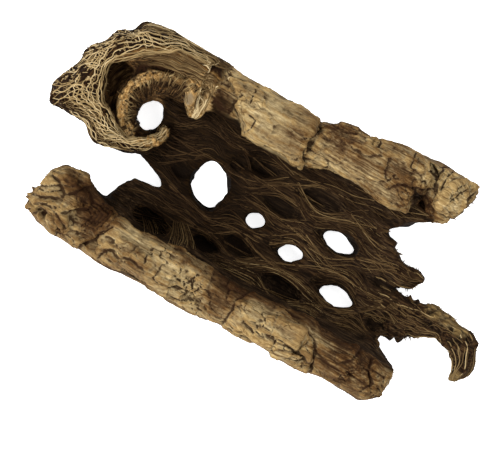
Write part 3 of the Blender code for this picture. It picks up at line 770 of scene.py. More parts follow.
reliefs = {"inside": inside_relief, "back": back_relief, "knot": ring_relief, "prongs": prong_relief}
for name, relief in reliefs.items():
    height = height * (1 - zone[name]) + relief * zone[name]
height *= ramp(points[:, 2], 0.2, 2.5)
cracks = np.maximum(np.where(on_low_rim, low_cracks, high_cracks), big_cracks) * (1 - zone["inside"])
cracks = np.maximum.reduce([cracks * (1 - zone["knot"]), np.clip(-2 * layers, 0, 1), 0.8 * bead_cracks])
print("relief in mm:", height.min().round(2), height.max().round(2))

# %% [markdown]
# ## Stains, painted light and painted shade
# Rain and soil left broad brown patches on the rims, and the freshly broken faces stayed pale. A
# few soft patches stand for the ones that this chunk is known by, and slow noise adds the rest. The
# browner ones along the low rim's inner edge and in the recess beside the knot hold painted shade as
# well. More soft patches say where the grain shows, where the floor gets painted light, and where the
# golden flap and the hook have a colour of their own, the hook's ridge with a painted highlight. The
# band's face gets painted shade towards its left end. They are only colour, so nothing of them is raised.

# %% Stains, painted light and painted shade
# Patches: middle, half length, half width and how much paler or browner
# The browner patches along the low rim's inner edge, near Y -30, are brown wood with painted shade on the
# wall under that edge, and the one at (-41, 29) is painted shade in the recess beside the knot
PATCHES = (
    ((1.5, -37), 11, 10, -0.36), ((-77, -30), 8, 7, -0.5), ((-66, -30), 8, 6, -0.5),
    ((-63, -38), 8, 6, -0.4), ((-60.5, -44), 6, 7, -0.2), ((-47.5, -50), 9, 5, -0.15),
    ((9, 46), 9, 8, -0.35), ((62, -38), 16, 10, -0.3), ((-37, -44), 7, 5, -0.1),
    ((55.2, 38.6), 6, 5, -0.55), ((49.9, 47), 5, 4, 0.1), ((-41, 29), 5, 9, -0.6),
    ((-42, 46), 5, 5, 0.1), ((-4, 38), 7, 10, -0.15), ((-74, -49), 8, 4, -0.25),
    ((-26, -38), 14, 8, 0.14), ((26, -40), 17, 7, 0.05), ((-48, -40), 7, 6, 0.05),
    ((-22, 36), 10, 10, 0.16), ((33, 38), 14, 8, -0.1), ((66, 48), 7, 9, 0.1), ((44, 42), 8, 6, -0.15),
    ((20, 54), 16, 3, -0.15), ((64, -27), 14, 6, -0.4), ((-8, 27), 14, 3, 0.1), ((-58, -31), 6, 5, -0.3),
    ((12, -30), 24, 4, -0.4), ((-30, -31), 16, 3, -0.3), ((44, -30), 20, 4, -0.22),
)
PALE_LEVEL = 0.52
# Where grain lines show on the rims, where the floor gets painted light as a lighter brown, and
# where the flap is grey
LINED_PLACES = (((30, 42), 26, 14), ((64, 44), 10, 12), ((62, -34), 16, 10), ((30, -46), 16, 4))
LIT_PLACES = (
    ((-56, -16), 12, 8), ((-52, -26), 6, 5), ((-27, -27), 6, 5), ((10, -26), 34, 6), ((40, -26), 30, 6),
)
GREY_SPOTS = (((-53.7, 26.6), 2.4, 2.6),)
# Where the hook is a paler olive, on faces that look up: its own colour and a painted highlight, on
# its outer ridge and its blunt tip
RIDGE_PLACES = (((83, 0), 4, 3), ((90, 0), 4, 3), ((96, -1), 4, 3), ((104.6, -19), 2, 2.5))


def paleness(points):
    """0 for brown stained wood, 1 for bleached or freshly broken wood."""
    level = PALE_LEVEL + 0.2 * layered_hills(points, (17.0, 9.0, 14.0), 61, 3)
    bend = 3.0 * np.stack([hills(points, 7.0, 63), hills(points, 7.0, 64)], 1)
    for middle, half_length, half_width, change in PATCHES:
        away = (points[:, :2] + bend - middle) / (half_length, half_width)
        level += change * np.exp(-(away ** 2).sum(1) ** 1.5)
    side = ramp(points[:, 2], 22.0, 38.0)
    return np.clip(level - 0.3 * (1 - side), 0.0, 1.0)


def patch_share(points, patches):
    """1 in the middle of soft patches, 0 away from them."""
    share = np.zeros(len(points))
    for middle, half_length, half_width in patches:
        away = (points[:, :2] - middle) / (half_length, half_width)
        share = np.maximum(share, ramp(1.5 - (away ** 2).sum(1), 0.0, 1.0))
    return share


pale_share = paleness(points)
lined_share = patch_share(points, LINED_PLACES)
# Painted light on the floor: lighter towards +X, away from the deep corner beside the knot, and in the lit
# places
lit_share = np.maximum(ramp(points[:, 0], -25.0, 45.0), patch_share(points, LIT_PLACES))
spot_share = patch_share(points, GREY_SPOTS) * zone["tip"]
ridge_share = patch_share(points, RIDGE_PLACES) * ramp(facing[:, 2], -0.3, 0.3)
# Painted shade on the band's face towards its left end
shaded_face = ramp(-points[:, 0], 66.0, 84.0) * zone["face"]
zone["crest"] *= 1 - 0.6 * ramp(points[:, 0], -73.0, -66.0) * ramp(points[:, 1], 20.0, 24.0)
print("mean paleness:", pale_share.mean().round(2))

# %% [markdown]
# ## Press the relief into the skin
# Each vertex moves along its own direction by its height, and stays inside the box of the packed
# model. How far a vertex then lies below the mean of its surroundings is saved too: the colours put
# dirt and painted shade in the dips, and wear with a painted highlight on the ridges. The skin is
# then thinned where it is flat, so its faces go where the detail is.

# %% Press the relief into the skin
BODY_FACES = 195000
# A vertex's surroundings reach this many edges away
SURROUNDINGS = 10
# The middle prong narrows towards this Y between these two X, by this share at most
PRONG_TIP_Y, PRONG_NARROWS, PRONG_NARROWED = 10.0, (64.0, 73.0), 0.45


def save_share(mesh, name, values):
    layer = mesh.attributes.new(name, "FLOAT", "POINT")
    layer.data.foreach_set("value", np.asarray(values, np.float32))


def below_surroundings(mesh, points, facing, rounds):
    """How far each vertex lies below the mean of its surroundings, in mm."""
    ends = np.empty(len(mesh.edges) * 2, np.int64)
    mesh.edges.foreach_get("vertices", ends)
    first, second = ends.reshape(-1, 2).T
    count = np.bincount(ends, minlength=len(points))[:, None]
    mean = points.copy()
    for _ in range(rounds):
        columns = []
        for axis in range(3):
            total = np.bincount(first, mean[second, axis], len(points))
            total += np.bincount(second, mean[first, axis], len(points))
            columns.append(total)
        mean = 0.4 * mean + 0.6 * np.stack(columns, 1) / count
    return ((mean - points) * facing).sum(1)


moved = points + facing * height[:, None]
narrowed = PRONG_NARROWED * ramp(points[:, 0], *PRONG_NARROWS)
narrowed *= ramp(3.5 - beyond_prong(points, MIDDLE_PRONG), 0.0, 1.5)
moved[:, 1] += narrowed * (PRONG_TIP_Y - moved[:, 1])
moved = inside_box(moved)
wood.data.vertices.foreach_set("co", to_frame(moved).ravel())
wood.data.update()
new_facing = vertex_values(wood.data, "normal")
dips = below_surroundings(wood.data, moved, new_facing, SURROUNDINGS)
for name in ("inside", "knot", "channel", "face", "crest", "tip", "prongs", "back", "sunk", "under"):
    save_share(wood.data, name, zone[name])
shares = {
    "lined": lined_share, "lit": lit_share, "spot": spot_share, "ridge": ridge_share,
    "shaded": shaded_face, "dips": dips, "cracks": cracks, "paleness": pale_share,
}
for name, values in shares.items():
    save_share(wood.data, name, values)
grain_layer = wood.data.attributes.new("grain", "FLOAT_VECTOR", "POINT")
grain_layer.data.foreach_set("vector", grain.astype(np.float32).ravel())
thin = wood.modifiers.new("fewer_faces", "DECIMATE")
thin.ratio = min(1.0, BODY_FACES / (2 * len(wood.data.polygons)))
applied(wood)
thinned = inside_box(to_drawing(vertex_values(wood.data, "co")))
wood.data.vertices.foreach_set("co", to_frame(thinned).ravel())
wood.data.update()
wood.data.name = "trunk_wood"
print("dips in mm:", dips.min().round(2), dips.max().round(2), "trunk faces:", len(wood.data.polygons))

# %% [markdown]
# ## How a strand is made
# A strand is a thin tapered tube along a line of points, half sunk in the skin. Every tube gets a
# paleness and its own grain places, so one material can dress them all. A falling line finds the
# floor below it, and the nearest point of the skin carries the lines of the knot and the prongs.

# %% How a strand is made
TUBE_SIDES = 5
# A strand's points that lie closer than this to the one before are left out
SMALLEST_STEP = 0.05
# Falling lines start below the high rim's overhang, and above the low rim's open slope
HIGH_SIDE_SEARCH_Z, LOW_SIDE_SEARCH_Z = 33.0, 52.0
skin_tree = BVHTree.FromObject(wood, bpy.context.evaluated_depsgraph_get())


def even_line(line, step):
    """Points about one step apart along a line, on a smooth curve through it."""
    line = np.asarray(line, float)
    share = np.concatenate([[0], np.cumsum(np.linalg.norm(np.diff(line, axis=0), axis=1))])
    fine = np.linspace(0, share[-1], max(4, int(share[-1] / step) + 1))
    even = np.stack([np.interp(fine, share, line[:, axis]) for axis in range(line.shape[1])], 1)
    return smoothed(even, 3)


def smoothed(line, rounds):
    line = line.copy()
    for _ in range(rounds):
        line[1:-1] = (line[:-2] + 2 * line[1:-1] + line[2:]) / 4
    return line


def fallen(flat):
    """Drops flat points on the floor. Gives places and whether each one found wood."""
    places = np.column_stack([flat, np.where(flat[:, 1] > 0, HIGH_SIDE_SEARCH_Z, LOW_SIDE_SEARCH_Z)])
    found = np.zeros(len(flat), bool)
    for i, start in enumerate(to_frame(places)):
        spot, normal, _, _ = skin_tree.ray_cast(Vector(start), Vector((0, 0, -1)))
        if spot is not None and normal.z > 0.06 and spot.z > 1.5 * MM:
            places[i, 2] = spot.z / MM
            found[i] = True
    return places, found


def snapped(line, reach=6.0):
    """Nearest skin points with their directions, and whether each one lies within reach."""
    places = np.array(line, float)
    normals = upright(len(places))
    found = np.zeros(len(places), bool)
    for i, start in enumerate(to_frame(places)):
        spot, normal, _, _ = skin_tree.find_nearest(Vector(start), reach * MM)
        if spot is not None:
            places[i] = to_drawing(spot)
            normals[i] = normal
            found[i] = True
    return places, normals, found


def runs(found, shortest):
    """Start and end of each unbroken run of found points."""
    edges = np.flatnonzero(np.diff(np.concatenate([[0], found.astype(int), [0]])))
    return [(start, end) for start, end in edges.reshape(-1, 2) if end - start >= shortest]


def tube(line, radii, normals):
    """Ring corners round a line."""
    ahead = unit(np.gradient(line, axis=0))
    side = unit(np.cross(ahead, normals))
    up = np.cross(side, ahead)
    turn = 2 * math.pi * np.arange(TUBE_SIDES) / TUBE_SIDES
    ring = side[:, None] * np.cos(turn)[:, None] + up[:, None] * np.sin(turn)[:, None]
    return line[:, None] + ring * np.asarray(radii)[:, None, None]


def tubes(name, strands):
    """One mesh of closed tubes. A strand is its points, radii, directions and paleness."""
    corners, faces, shades, grains = [], [], [], []
    count = 0
    for number, (line, radii, normals, shade) in enumerate(strands):
        steps = np.linalg.norm(np.diff(line, axis=0), axis=1)
        kept = np.concatenate([[True], steps > SMALLEST_STEP])
        radii, shade = np.broadcast_to(radii, len(line))[kept], np.broadcast_to(shade, len(line))[kept]
        line, normals = line[kept], normals[kept]
        rings = tube(line, radii, normals)
        length = len(line)
        index = count + np.arange(length * TUBE_SIDES).reshape(length, TUBE_SIDES)
        after = np.roll(index, -1, axis=1)
        quads = np.stack([index[:-1], after[:-1], after[1:], index[1:]], 2).reshape(-1, 4)
        faces.extend(quads.tolist())
        faces.append(index[0][::-1].tolist())
        faces.append(index[-1].tolist())
        corners.append(rings.reshape(-1, 3))
        shades.append(np.repeat(shade, TUBE_SIDES))
        along = np.concatenate([[0], np.cumsum(np.linalg.norm(np.diff(line, axis=0), axis=1))])
        place = np.zeros((length, TUBE_SIDES, 3))
        place[:, :, 0] = along[:, None]
        place[:, :, 1] = 7.3 * number + np.arange(TUBE_SIDES)
        grains.append(place.reshape(-1, 3))
        count += length * TUBE_SIDES
    mesh = bpy.data.meshes.new(name)
    mesh.from_pydata(to_frame(inside_box(np.concatenate(corners))).tolist(), [], faces)
    save_share(mesh, "paleness", np.concatenate(shades))
    layer = mesh.attributes.new("grain", "FLOAT_VECTOR", "POINT")
    layer.data.foreach_set("vector", np.concatenate(grains).astype(np.float32).ravel())
    thing = bpy.data.objects.new(name, mesh)
    bpy.context.collection.objects.link(thing)
    print(name, "strands:", len(strands), "faces:", len(faces))
    return thing


def tapered(count, radius, tip=0.3, reach=5):
    """Radii that thin out towards both ends."""
    place = np.arange(count)
    end = np.minimum(place, count - 1 - place) / reach
    return radius * (tip + (1 - tip) * ramp(end, 0.0, 1.0))


def upright(count):
    """Directions of a strand that lies on level ground."""
    return np.tile((0.0, 0.0, 1.0), (count, 1))


def chance_of(number, family, kind=7, seed=5):
    """A fixed random number from 0 to 1 for one strand of a family."""
    return hashed(np.array([number]), np.array([family]), np.array([kind]), seed)[0]


def varied(least, added, chance):
    """A value that chance raises by up to what is added."""
    return least + added * chance


def lane(along, aside, height=0.0):
    """Places for the noise of one strand, on a line of its own."""
    return np.column_stack([along, np.full(len(along), aside), np.full(len(along), height)])


# %% [markdown]
# ## Strands of the floor
# A cholla trunk is woven: bundles of wood fibre run along it at two slight angles, part round each
# gap and join again behind it. Here three families of lines cross the floor, bend round every
# lens shaped gap, fall on the skin, and break off where there is no wood below. Paler strands
# follow the low rim's edge. A few thicker twisted bundles lie on top, along the lines that show
# most in this chunk.

# %% Strands of the floor
FLOOR_STEP = 1.1
FAMILIES = ((-9.0, 1.05, 5), (1.0, 1.0, 6), (17.0, 1.6, 7))
FLOOR_START_X, FLOOR_END_X = -66.0, 84.0
SHORTEST_RUN = 6
# Thick bundles, from point to point
BUNDLES = (
    ((-24.8, 13.4), (-9, 11.7), (10, 11.3), (19.7, 11.5)),
    ((-12.1, 2.5), (0.6, 1.9), (7.3, 1.4), (16.4, 0.2), (25.9, -1.7)),
    (
        (-15.3, -11.7), (-6.3, -11.9), (0.2, -14.6), (10.3, -16.6), (26.9, -17.9), (42.4, -19.3),
        (65.5, -23.3),
    ),
    ((-0.9, -21.1), (8.4, -17.7), (26.9, -9.5), (37.2, -6), (51.1, -6.9), (69.9, -6.9), (85.9, -9)),
    ((-21.3, -20.1), (-12.2, -18.7), (2.4, -18.3)),
    ((2.2, -29.2), (13.4, -27.2), (24.5, -26.7), (30.9, -25), (47.2, -19), (67.9, -12)),
    ((-19.6, -31.5), (-9.3, -28), (9.6, -30.8), (29.1, -30.4), (49.9, -32.3), (60.5, -33.5)),
    ((-13.2, 4.4), (0.4, 10.7), (15.8, 9.7), (30.3, 14.6), (52.8, 22.7)),
    ((-8.8, 11.3), (7.8, 19.4), (16.6, 25.5)), ((-13.7, 19.9), (-1.2, 22.1), (17.9, 23.3)),
    ((13.1, 3.3), (39, -6.5)), ((43.5, 4.5), (62.7, 9.7), (72.3, 10.3)),
    ((-58, 10), (-40, 9), (-24, 10), (-10, 8)), ((-60, -8), (-44, -9), (-20, -14), (-6, -11)),
    ((-60, -20), (-46, -17), (-28, -18), (-12, -22)), ((-40, 20), (-22, 20), (-2, 16), (20, 16)),
    ((26, 20), (44, 14), (62, 13)),
    (
        (-49.1, -32.7), (-43.9, -34.1), (-38.8, -33.7), (-34.7, -31.7), (-32.2, -28.4),
        (-31.8, -24.4), (-33, -21.2),
    ),
)
# Strands that run beside the low rim's pale edge: count, reach from the edge, first and last X
EDGE_STRANDS, EDGE_STRANDS_REACH = 26, 13.0
EDGE_STRANDS_START, EDGE_STRANDS_END = -32.0, 66.0
# Radius and paleness of thin strands: the least, and what chance adds to it
FLOOR_RADIUS, FLOOR_SHADE = (0.09, 0.12), (0.14, 0.46)
EDGE_RADIUS, EDGE_SHADE = (0.1, 0.1), (0.36, 0.36)
# Strands in a bundle, their radius and the length of one full twist
BUNDLE_STRANDS, BUNDLE_RADIUS, TWIST_LENGTH = 3, 0.17, 31.0


def part_round(flat, margin):
    """Bends a line sideways round every gap that it meets."""
    for middle, length, width, degrees in GAPS:
        turn = math.radians(degrees)
        if abs(degrees) > 45:
            turn += math.pi / 2
            length, width = width, length
        axis = np.array((math.cos(turn), math.sin(turn)))
        cross = np.array((-axis[1], axis[0]))
        away = flat - np.array(middle)
        along, across = away @ axis, away @ cross
        side = 1.0 if across[np.argmin(np.abs(along))] >= 0 else -1.0
        reach = np.clip(1 - (along / (length * 0.68)) ** 2, 0, 1)
        swell = reach ** 1.5 * (width / 2 + margin)
        offset = side * across
        pushed = (offset + np.sqrt(offset ** 2 + 4 * swell ** 2)) / 2
        flat = flat + (side * (pushed - offset) * np.sqrt(reach))[:, None] * cross
    return flat


def on_floor(flat):
    """True where a flat point lies between the rims."""
    x, y = flat.T
    return (y > value_at(INNER_LOW, x) + 0.5) & (y < value_at(INNER_HIGH, x) + 3.0)


def depth_shade(line):
    """Painted shade: strands are darker towards the deep corner beside the knot, and in the pits."""
    return (0.35 + 0.65 * ramp(line[:, 2], 6.0, 15.0)) * (0.65 + 0.35 * ramp(line[:, 0], -30.0, 20.0))


def floor_strands(flat, radius, shade, lift=0.3):
    """Strands along one flat line, one for each stretch of wood below it."""
    places, found = fallen(flat)
    found &= on_floor(flat)
    made = []
    for start, end in runs(found, SHORTEST_RUN):
        line = places[start:end]
        low = smoothed(line, 12)
        line = smoothed(np.column_stack([line[:, :2], np.maximum(low[:, 2], line[:, 2] - 0.3)]), 2)
        radii = tapered(len(line), radius)
        line[:, 2] += lift * radii
        made.append((line, radii, upright(len(line)), shade * depth_shade(line)))
    return made


def crossing_family(degrees, spacing, seed):
    slope = math.tan(math.radians(degrees))
    x = np.arange(FLOOR_START_X, FLOOR_END_X, FLOOR_STEP)
    made = []
    for number in range(-round(60 / spacing), round(60 / spacing)):
        chance, other = chance_of(number, seed, 1), chance_of(number, seed, 2)
        place = lane(x, number * 3.1, seed * 9.0)
        y = number * spacing + slope * x + 1.3 * hills(place, (34.0, 3.0, 3.0), 81)
        flat = smoothed(part_round(np.column_stack([x, y]), 0.8), 14)
        made += floor_strands(flat, varied(*FLOOR_RADIUS, chance), varied(*FLOOR_SHADE, other ** 2.5))
    return made


def strands_beside_rim():
    """Strands that leave the low rim's edge at a small angle."""
    made = []
    for number in range(EDGE_STRANDS):
        chance, other = chance_of(number, 11, 1), chance_of(number, 11, 2)
        first = EDGE_STRANDS_START + 40 * chance
        x = np.arange(first, EDGE_STRANDS_END - 30 * other, FLOOR_STEP)
        place = lane(x, number * 3.1)
        offset = 0.5 + EDGE_STRANDS_REACH * (number / EDGE_STRANDS) ** 1.3
        y = value_at(INNER_LOW, x) + offset - 0.05 * (x - first) * other
        y = y + 0.9 * hills(place, (22.0, 3.0, 3.0), 92)
        flat = smoothed(part_round(np.column_stack([x, y]), 0.8), 14)
        made += floor_strands(flat, varied(*EDGE_RADIUS, chance), varied(*EDGE_SHADE, other))
    return made


def bundle(line, number):
    """A few strands that twist round one line."""
    flat = even_line(line, FLOOR_STEP)
    along = np.arange(len(flat)) * FLOOR_STEP
    ahead = unit(np.gradient(flat, axis=0))
    cross = np.column_stack([-ahead[:, 1], ahead[:, 0]])
    made = []
    for strand in range(BUNDLE_STRANDS):
        phase = 2 * math.pi * strand / BUNDLE_STRANDS + number
        twist = 2 * math.pi * along / TWIST_LENGTH + phase
        sideways = 0.45 * np.sin(twist) + 0.3 * (strand - 1)
        made += floor_strands(flat + sideways[:, None] * cross, BUNDLE_RADIUS, 0.36 + 0.08 * strand, 0.8)
    return made


thin_strands = []
for degrees, spacing, seed in FAMILIES:
    thin_strands += crossing_family(degrees, spacing, seed)
floor_fibres = tubes("floor_strands", thin_strands + strands_beside_rim())
thick_strands = []
for number, line in enumerate(BUNDLES):
    thick_strands += bundle(line, number)
floor_bundles = tubes("floor_bundles", thick_strands)

# %% [markdown]
# ## Net of the knot
# Where the branch curled, its wood stretched into an open net: pale strands that touch, part and
# touch again over dark cells. Neighbouring strands swing against each other, so each pair encloses
# a row of cells, and slanting strands cross them. Near the crest they lie calm and close. Every
# strand is a path over a grid of places on the band, by its share of the way along the band and
# across its section. Two more grids carry the net where the band turns down at its right end, and
# the fine lines on its sloping inner face.

# %% Net of the knot
NET_STEP = 0.7
# The net is paler on the band's top than on its sides, which start at this share across it
NET_DARK_ACROSS = 0.87
# Beyond this share across it the net is torn, and only pieces of its strands are left
TORN_ACROSS = 0.8
GRID_ALONG, GRID_ACROSS = 280, 24
# Strands that follow the band: count, cells along the band, thickness, and first and last share
NET_LAYERS = ((19, 27, 0.17, 0.12, 1.0), (12, 41, 0.12, 0.16, 0.95), (6, 9, 0.2, 0.0, 0.2))
# The sloping face takes the band's first share as far as this share along it
CREST_SHARE, FACE_END = 0.25, 0.3
# Round the corner the outer strands run across the band instead, from this share of its section
CORNER_MIDDLE, CORNER_HALF, CORNER_ACROSS = 0.45, 0.17, 0.42
# The band's loose end has strands on its top only
LOOSE_END, LOOSE_END_ACROSS = 0.86, 0.5
# Strands that cross it: count, first and last share along, slant, thickness and cells along each
CROSS_LAYERS = (
    (42, 0.27, 0.64, 0.0, 0.13, 3), (16, 0.38, 0.58, 0.0, 0.14, 4), (24, 0.64, 0.9, -0.26, 0.14, 2),
    (12, 0.02, 0.3, 0.05, 0.12, 2),
)
# Away from the corner they stay on the band's top, up to this share across it
CROSSED_ACROSS = 0.55
FACE_STRANDS = 26
# Both sides of the net where the band turns down at its right end, and its strands and cells
TURNED_EDGE = (
    ((-56, 42.5, 52), (-56, 48, 50)), ((-51, 41.5, 50.5), (-47, 47.5, 49)), ((-49, 36, 45), (-45, 41, 46)),
    ((-49.5, 30, 39), (-46, 33, 40)), ((-49.5, 25, 35), (-46, 27, 36)), ((-48.3, 19, 31), (-46.8, 21, 31)),
)
TURNED_STRANDS, TURNED_CELLS = 12, 7
# How far strands stand off the skin, as a share of their radius, and how far away they find it
NET_RAISED, CROSS_RAISED, FACE_RAISED, NET_REACH = 1.2, 1.5, 0.6, 4.0
# Paleness and radius: the least, and what chance adds to it
NET_SHADE, CROSS_SHADE, TURNED_SHADE, FACE_SHADE = (0.46, 0.4), (0.52, 0.4), (0.56, 0.4), (0.27, 0.37)
TURNED_RADIUS, FACE_RADIUS = (0.13, 0.1), (0.16, 0.16)
NET_RADIUS_ADDED, CROSS_RADIUS_ADDED = 0.09, 0.08


def even_section(ring, count):
    """Places evenly spaced along one line of corners."""
    reach = np.concatenate([[0], np.cumsum(np.linalg.norm(np.diff(ring, axis=0), axis=1))])
    even = np.linspace(0, reach[-1], count)
    return np.stack([np.interp(even, reach, ring[:, axis]) for axis in range(3)], 1)


def grid_of(rings):
    """Even places along and across a row of open sections."""
    rows = np.stack([even_section(np.array(ring, float), GRID_ACROSS) for ring in rings])
    columns = []
    for column in range(GRID_ACROSS):
        columns.append(smoothed(even_section(rows[:, column], GRID_ALONG), 12))
    return np.stack(columns, 1)


def band_ring(inner, outer, top):
    """The band's upper side at one station, from its inner edge to its outer foot."""
    inner, outer = np.array(inner, float), np.array(outer, float)
    ring = []
    for across, share, added in BAND_SECTION[1:]:
        ring.append((*(inner + (outer - inner) * across), top * share + added))
    return ring


def on_grid(grid, along, across):
    """Places on a grid for shares along and across it."""
    row = np.clip(along, 0, 1) * (len(grid) - 1)
    column = np.clip(across, 0, 1) * (grid.shape[1] - 1)
    low_row = np.minimum(row.astype(int), len(grid) - 2)
    low_column = np.minimum(column.astype(int), grid.shape[1] - 2)
    row_share, column_share = (row - low_row)[:, None], (column - low_column)[:, None]
    first = grid[low_row] * (1 - row_share[..., None]) + grid[low_row + 1] * row_share[..., None]
    each = np.arange(len(row))
    return first[each, low_column] * (1 - column_share) + first[each, low_column + 1] * column_share


def skin_strands(line, radius, shade, raised=0.35, reach=7.0, kept=True):
    """Strands along the kept parts of a line, raised off the nearest skin by a share of their radius."""
    places, normals, found = snapped(line, reach)
    found &= kept
    shade = np.broadcast_to(shade, len(line))
    made = []
    for start, end in runs(found, SHORTEST_RUN):
        part = smoothed(places[start:end], 4)
        lift = smoothed(normals[start:end], 4)
        radii = tapered(len(part), radius)
        made.append((part + lift * (raised * radii)[:, None], radii, lift, shade[start:end]))
    return made


def swung(number, phase):
    """Sideways swing of a strand in strand spacings: neighbours meet, run together and part."""
    return 0.5 * (-1) ** number * np.clip(1.5 * np.sin(phase), -1.0, 1.0)


def net_light(across):
    """The net is pale on the band's top and dark on its side."""
    return 0.4 + 0.6 * ramp(NET_DARK_ACROSS - across, 0.0, 0.18)


def net_strands(count, cells, thickness, first, last):
    along = np.linspace(0, 1, GRID_ALONG)
    made = []
    for number in range(count):
        place = lane(along * 180, number * 2.0)
        share = (number + 0.5) / count
        phase = 2 * math.pi * cells * along + 0.4 * number + 3.2 * hills(place, (17.0, 7.0, 2.0), 82)
        calm = 0.35 + 0.65 * ramp(along, 0.4, 0.56)
        swing = swung(number, phase) * calm * min(1.0, 0.2 + 1.3 * share)
        swing = swing + 0.45 * hills(place, (12.0, 4.0, 2.0), 84 + count)
        start = np.maximum(first, CREST_SHARE * ramp(FACE_END - along, 0.0, 0.14))
        across = start + np.maximum(last - start, 0.04) * (number + 0.5 + swing) / count
        chance = chance_of(number, count)
        end_shade = 0.5 + 0.5 * ramp(along, 0.0, 0.12)
        shade = varied(*NET_SHADE, chance) * end_shade
        at_corner = np.abs(along - CORNER_MIDDLE) < CORNER_HALF + 0.04 * (chance - 0.5)
        kept = ~at_corner | (across < CORNER_ACROSS + 0.1 * chance)
        kept &= (along < LOOSE_END) | (across < LOOSE_END_ACROSS)
        kept &= (across < TORN_ACROSS) | (hills(place, (16.0, 5.0, 2.0), 89) > 0.0)
        line = on_grid(band_grid, along, across)
        shade = shade * net_light(across)
        radius = varied(thickness, NET_RADIUS_ADDED, chance)
        made += skin_strands(line, radius, shade, NET_RAISED, NET_REACH, kept)
    return made


def cross_strands(count, start, end, slant, thickness, cells):
    made = []
    for number in range(count):
        chance, other = chance_of(number, count), chance_of(number, count + 50)
        across = np.linspace(0.12 + 0.14 * chance, 0.84 + 0.16 * other, 44)
        place = lane(across * 30, number * 2.0)
        phase = 2 * math.pi * cells * across + 0.3 * number + 1.5 * hills(place, (9.0, 8.0, 2.0), 87)
        swing = swung(number, phase) + 0.3 * hills(place, (9.0, 4.0, 2.0), 88)
        along = start + (end - start) * (number + 0.5 + swing) / count + slant * (across - 0.15)
        line = on_grid(band_grid, along, across)
        shade = varied(*CROSS_SHADE, other) * net_light(across)
        kept = across < CROSSED_ACROSS
        if slant == 0:
            kept |= np.abs(along - CORNER_MIDDLE) < CORNER_HALF
        radius = varied(thickness, CROSS_RADIUS_ADDED, chance)
        made += skin_strands(line, radius, shade, CROSS_RAISED, NET_REACH, kept)
    return made


def turned_strands():
    """The net where the band turns down beside the trunk's first block."""
    along = np.linspace(0, 1, 90)
    made = []
    for number in range(TURNED_STRANDS):
        chance = chance_of(number, 12)
        place = lane(along * 45, number * 2.0)
        swing = swung(number, 2 * math.pi * TURNED_CELLS * along + 0.3 * number)
        swing = swing + 0.5 * hills(place, (9.0, 4.0, 2.0), 85)
        line = on_grid(turned_grid, along, (number + 0.5 + swing) / TURNED_STRANDS)
        radius, shade = varied(*TURNED_RADIUS, chance), varied(*TURNED_SHADE, chance)
        made += skin_strands(line, radius, shade, NET_RAISED, NET_REACH)
    return made


def face_strands():
    """Fine lines that run along the band's sloping inner face."""
    along = np.linspace(0, 1, GRID_ALONG // 2)
    made = []
    for number in range(FACE_STRANDS):
        chance, other = chance_of(number, 3), chance_of(number, 4)
        place = lane(along * 60, number * 3.0)
        across = (number + 0.5 + 0.7 * hills(place, (18.0, 2.0, 2.0), 86)) / FACE_STRANDS
        part = slice(int(30 * chance), len(along) - int(40 * other))
        line = on_grid(face_grid, along, across)[part]
        # Painted shade: the face's strands get darker towards the band's left end
        shade = varied(*FACE_SHADE, other) * (0.45 + 0.55 * ramp(line[:, 0], -86.0, -66.0))
        made += skin_strands(line, varied(*FACE_RADIUS, chance), shade, FACE_RAISED, NET_REACH)
    return made


band_grid = grid_of([band_ring(*station) for station in BAND])
face_grid = grid_of([((*crest, top), (*foot, top - BAND_SLOPE_DROP)) for crest, foot, top in BAND_SLOPE])
turned_grid = grid_of(TURNED_EDGE)
knot_strands = turned_strands()
for layer in NET_LAYERS:
    knot_strands += net_strands(*layer)
for layer in CROSS_LAYERS:
    knot_strands += cross_strands(*layer)
knot_net = tubes("knot_net", knot_strands)
knot_lining = tubes("knot_lining", face_strands())

# %% [markdown]
# ## Ribs of the knot's inner wall
# The inner wall is ribbed across, like a comb: each growth ring of the branch left one thin rib
# from the golden crest down into the dark hollow. The ribs are close together and a little uneven.

# %% Ribs of the knot's inner wall
RIB_SPACING, RIB_STEP = 1.15, 0.6
# Least radius of a rib and what chance adds to it, and how far it stands off the wall
RIB_RADIUS, RIB_RAISED = (0.2, 0.22), 0.4
# The golden crest fades towards the trunk
CREST_FADES_X = -70.0
# Places down a rib: inwards from the crest, and drop. Where the crest is golden, its beads stay bare
LONG_RIB = ((-2.6, -2), (0, 0.3), (2.5, -1.5), (6, -9), (9, -17))
SHORT_RIB = ((1.6, -0.6), (2.5, -1.5), (6, -9), (9, -17))
# A rib's paleness at these shares of its way down: pale at the golden crest, and darker down into
# the hollow as painted shade
RIB_SHARES, RIB_SHADES = (0, 0.12, 0.35, 0.65, 1), (0.6, 0.66, 0.5, 0.3, 0.1)


def wall_ribs():
    crest = even_line([(*middle, top) for middle, top in INNER_WALL], RIB_SPACING)
    made = []
    for number, (x, y, z) in enumerate(crest):
        chance = chance_of(number, 8)
        inward = unit(HOLLOW_MIDDLE + (chance - 0.5) * 4 - (x, y))
        faded = x > CREST_FADES_X and y > HOLLOW_MIDDLE[1]
        rib = LONG_RIB if faded else SHORT_RIB
        section = [(*(np.array((x, y)) + inward * reach), z + drop) for reach, drop in rib]
        line = even_line(section, RIB_STEP)
        place = lane(np.arange(len(line)) * RIB_STEP, number * 3.0)
        line = line + 0.5 * np.stack([hills(place, (4.0, 2.0, 2.0), 97 + axis) for axis in range(3)], 1)
        fade = np.interp(np.linspace(0, 1, len(line)), RIB_SHARES, RIB_SHADES)
        fade = fade + 0.3 * (chance - 0.5) - 0.08
        places, normals, found = snapped(line, 5.0)
        for start, end in runs(found, SHORTEST_RUN):
            part, lift = smoothed(places[start:end], 3), smoothed(normals[start:end], 4)
            radii = tapered(len(part), varied(*RIB_RADIUS, chance))
            made.append((part + lift * (RIB_RAISED * radii)[:, None], radii, lift, fade[start:end]))
    return made


inner_ribs = tubes("knot_ribs", wall_ribs())

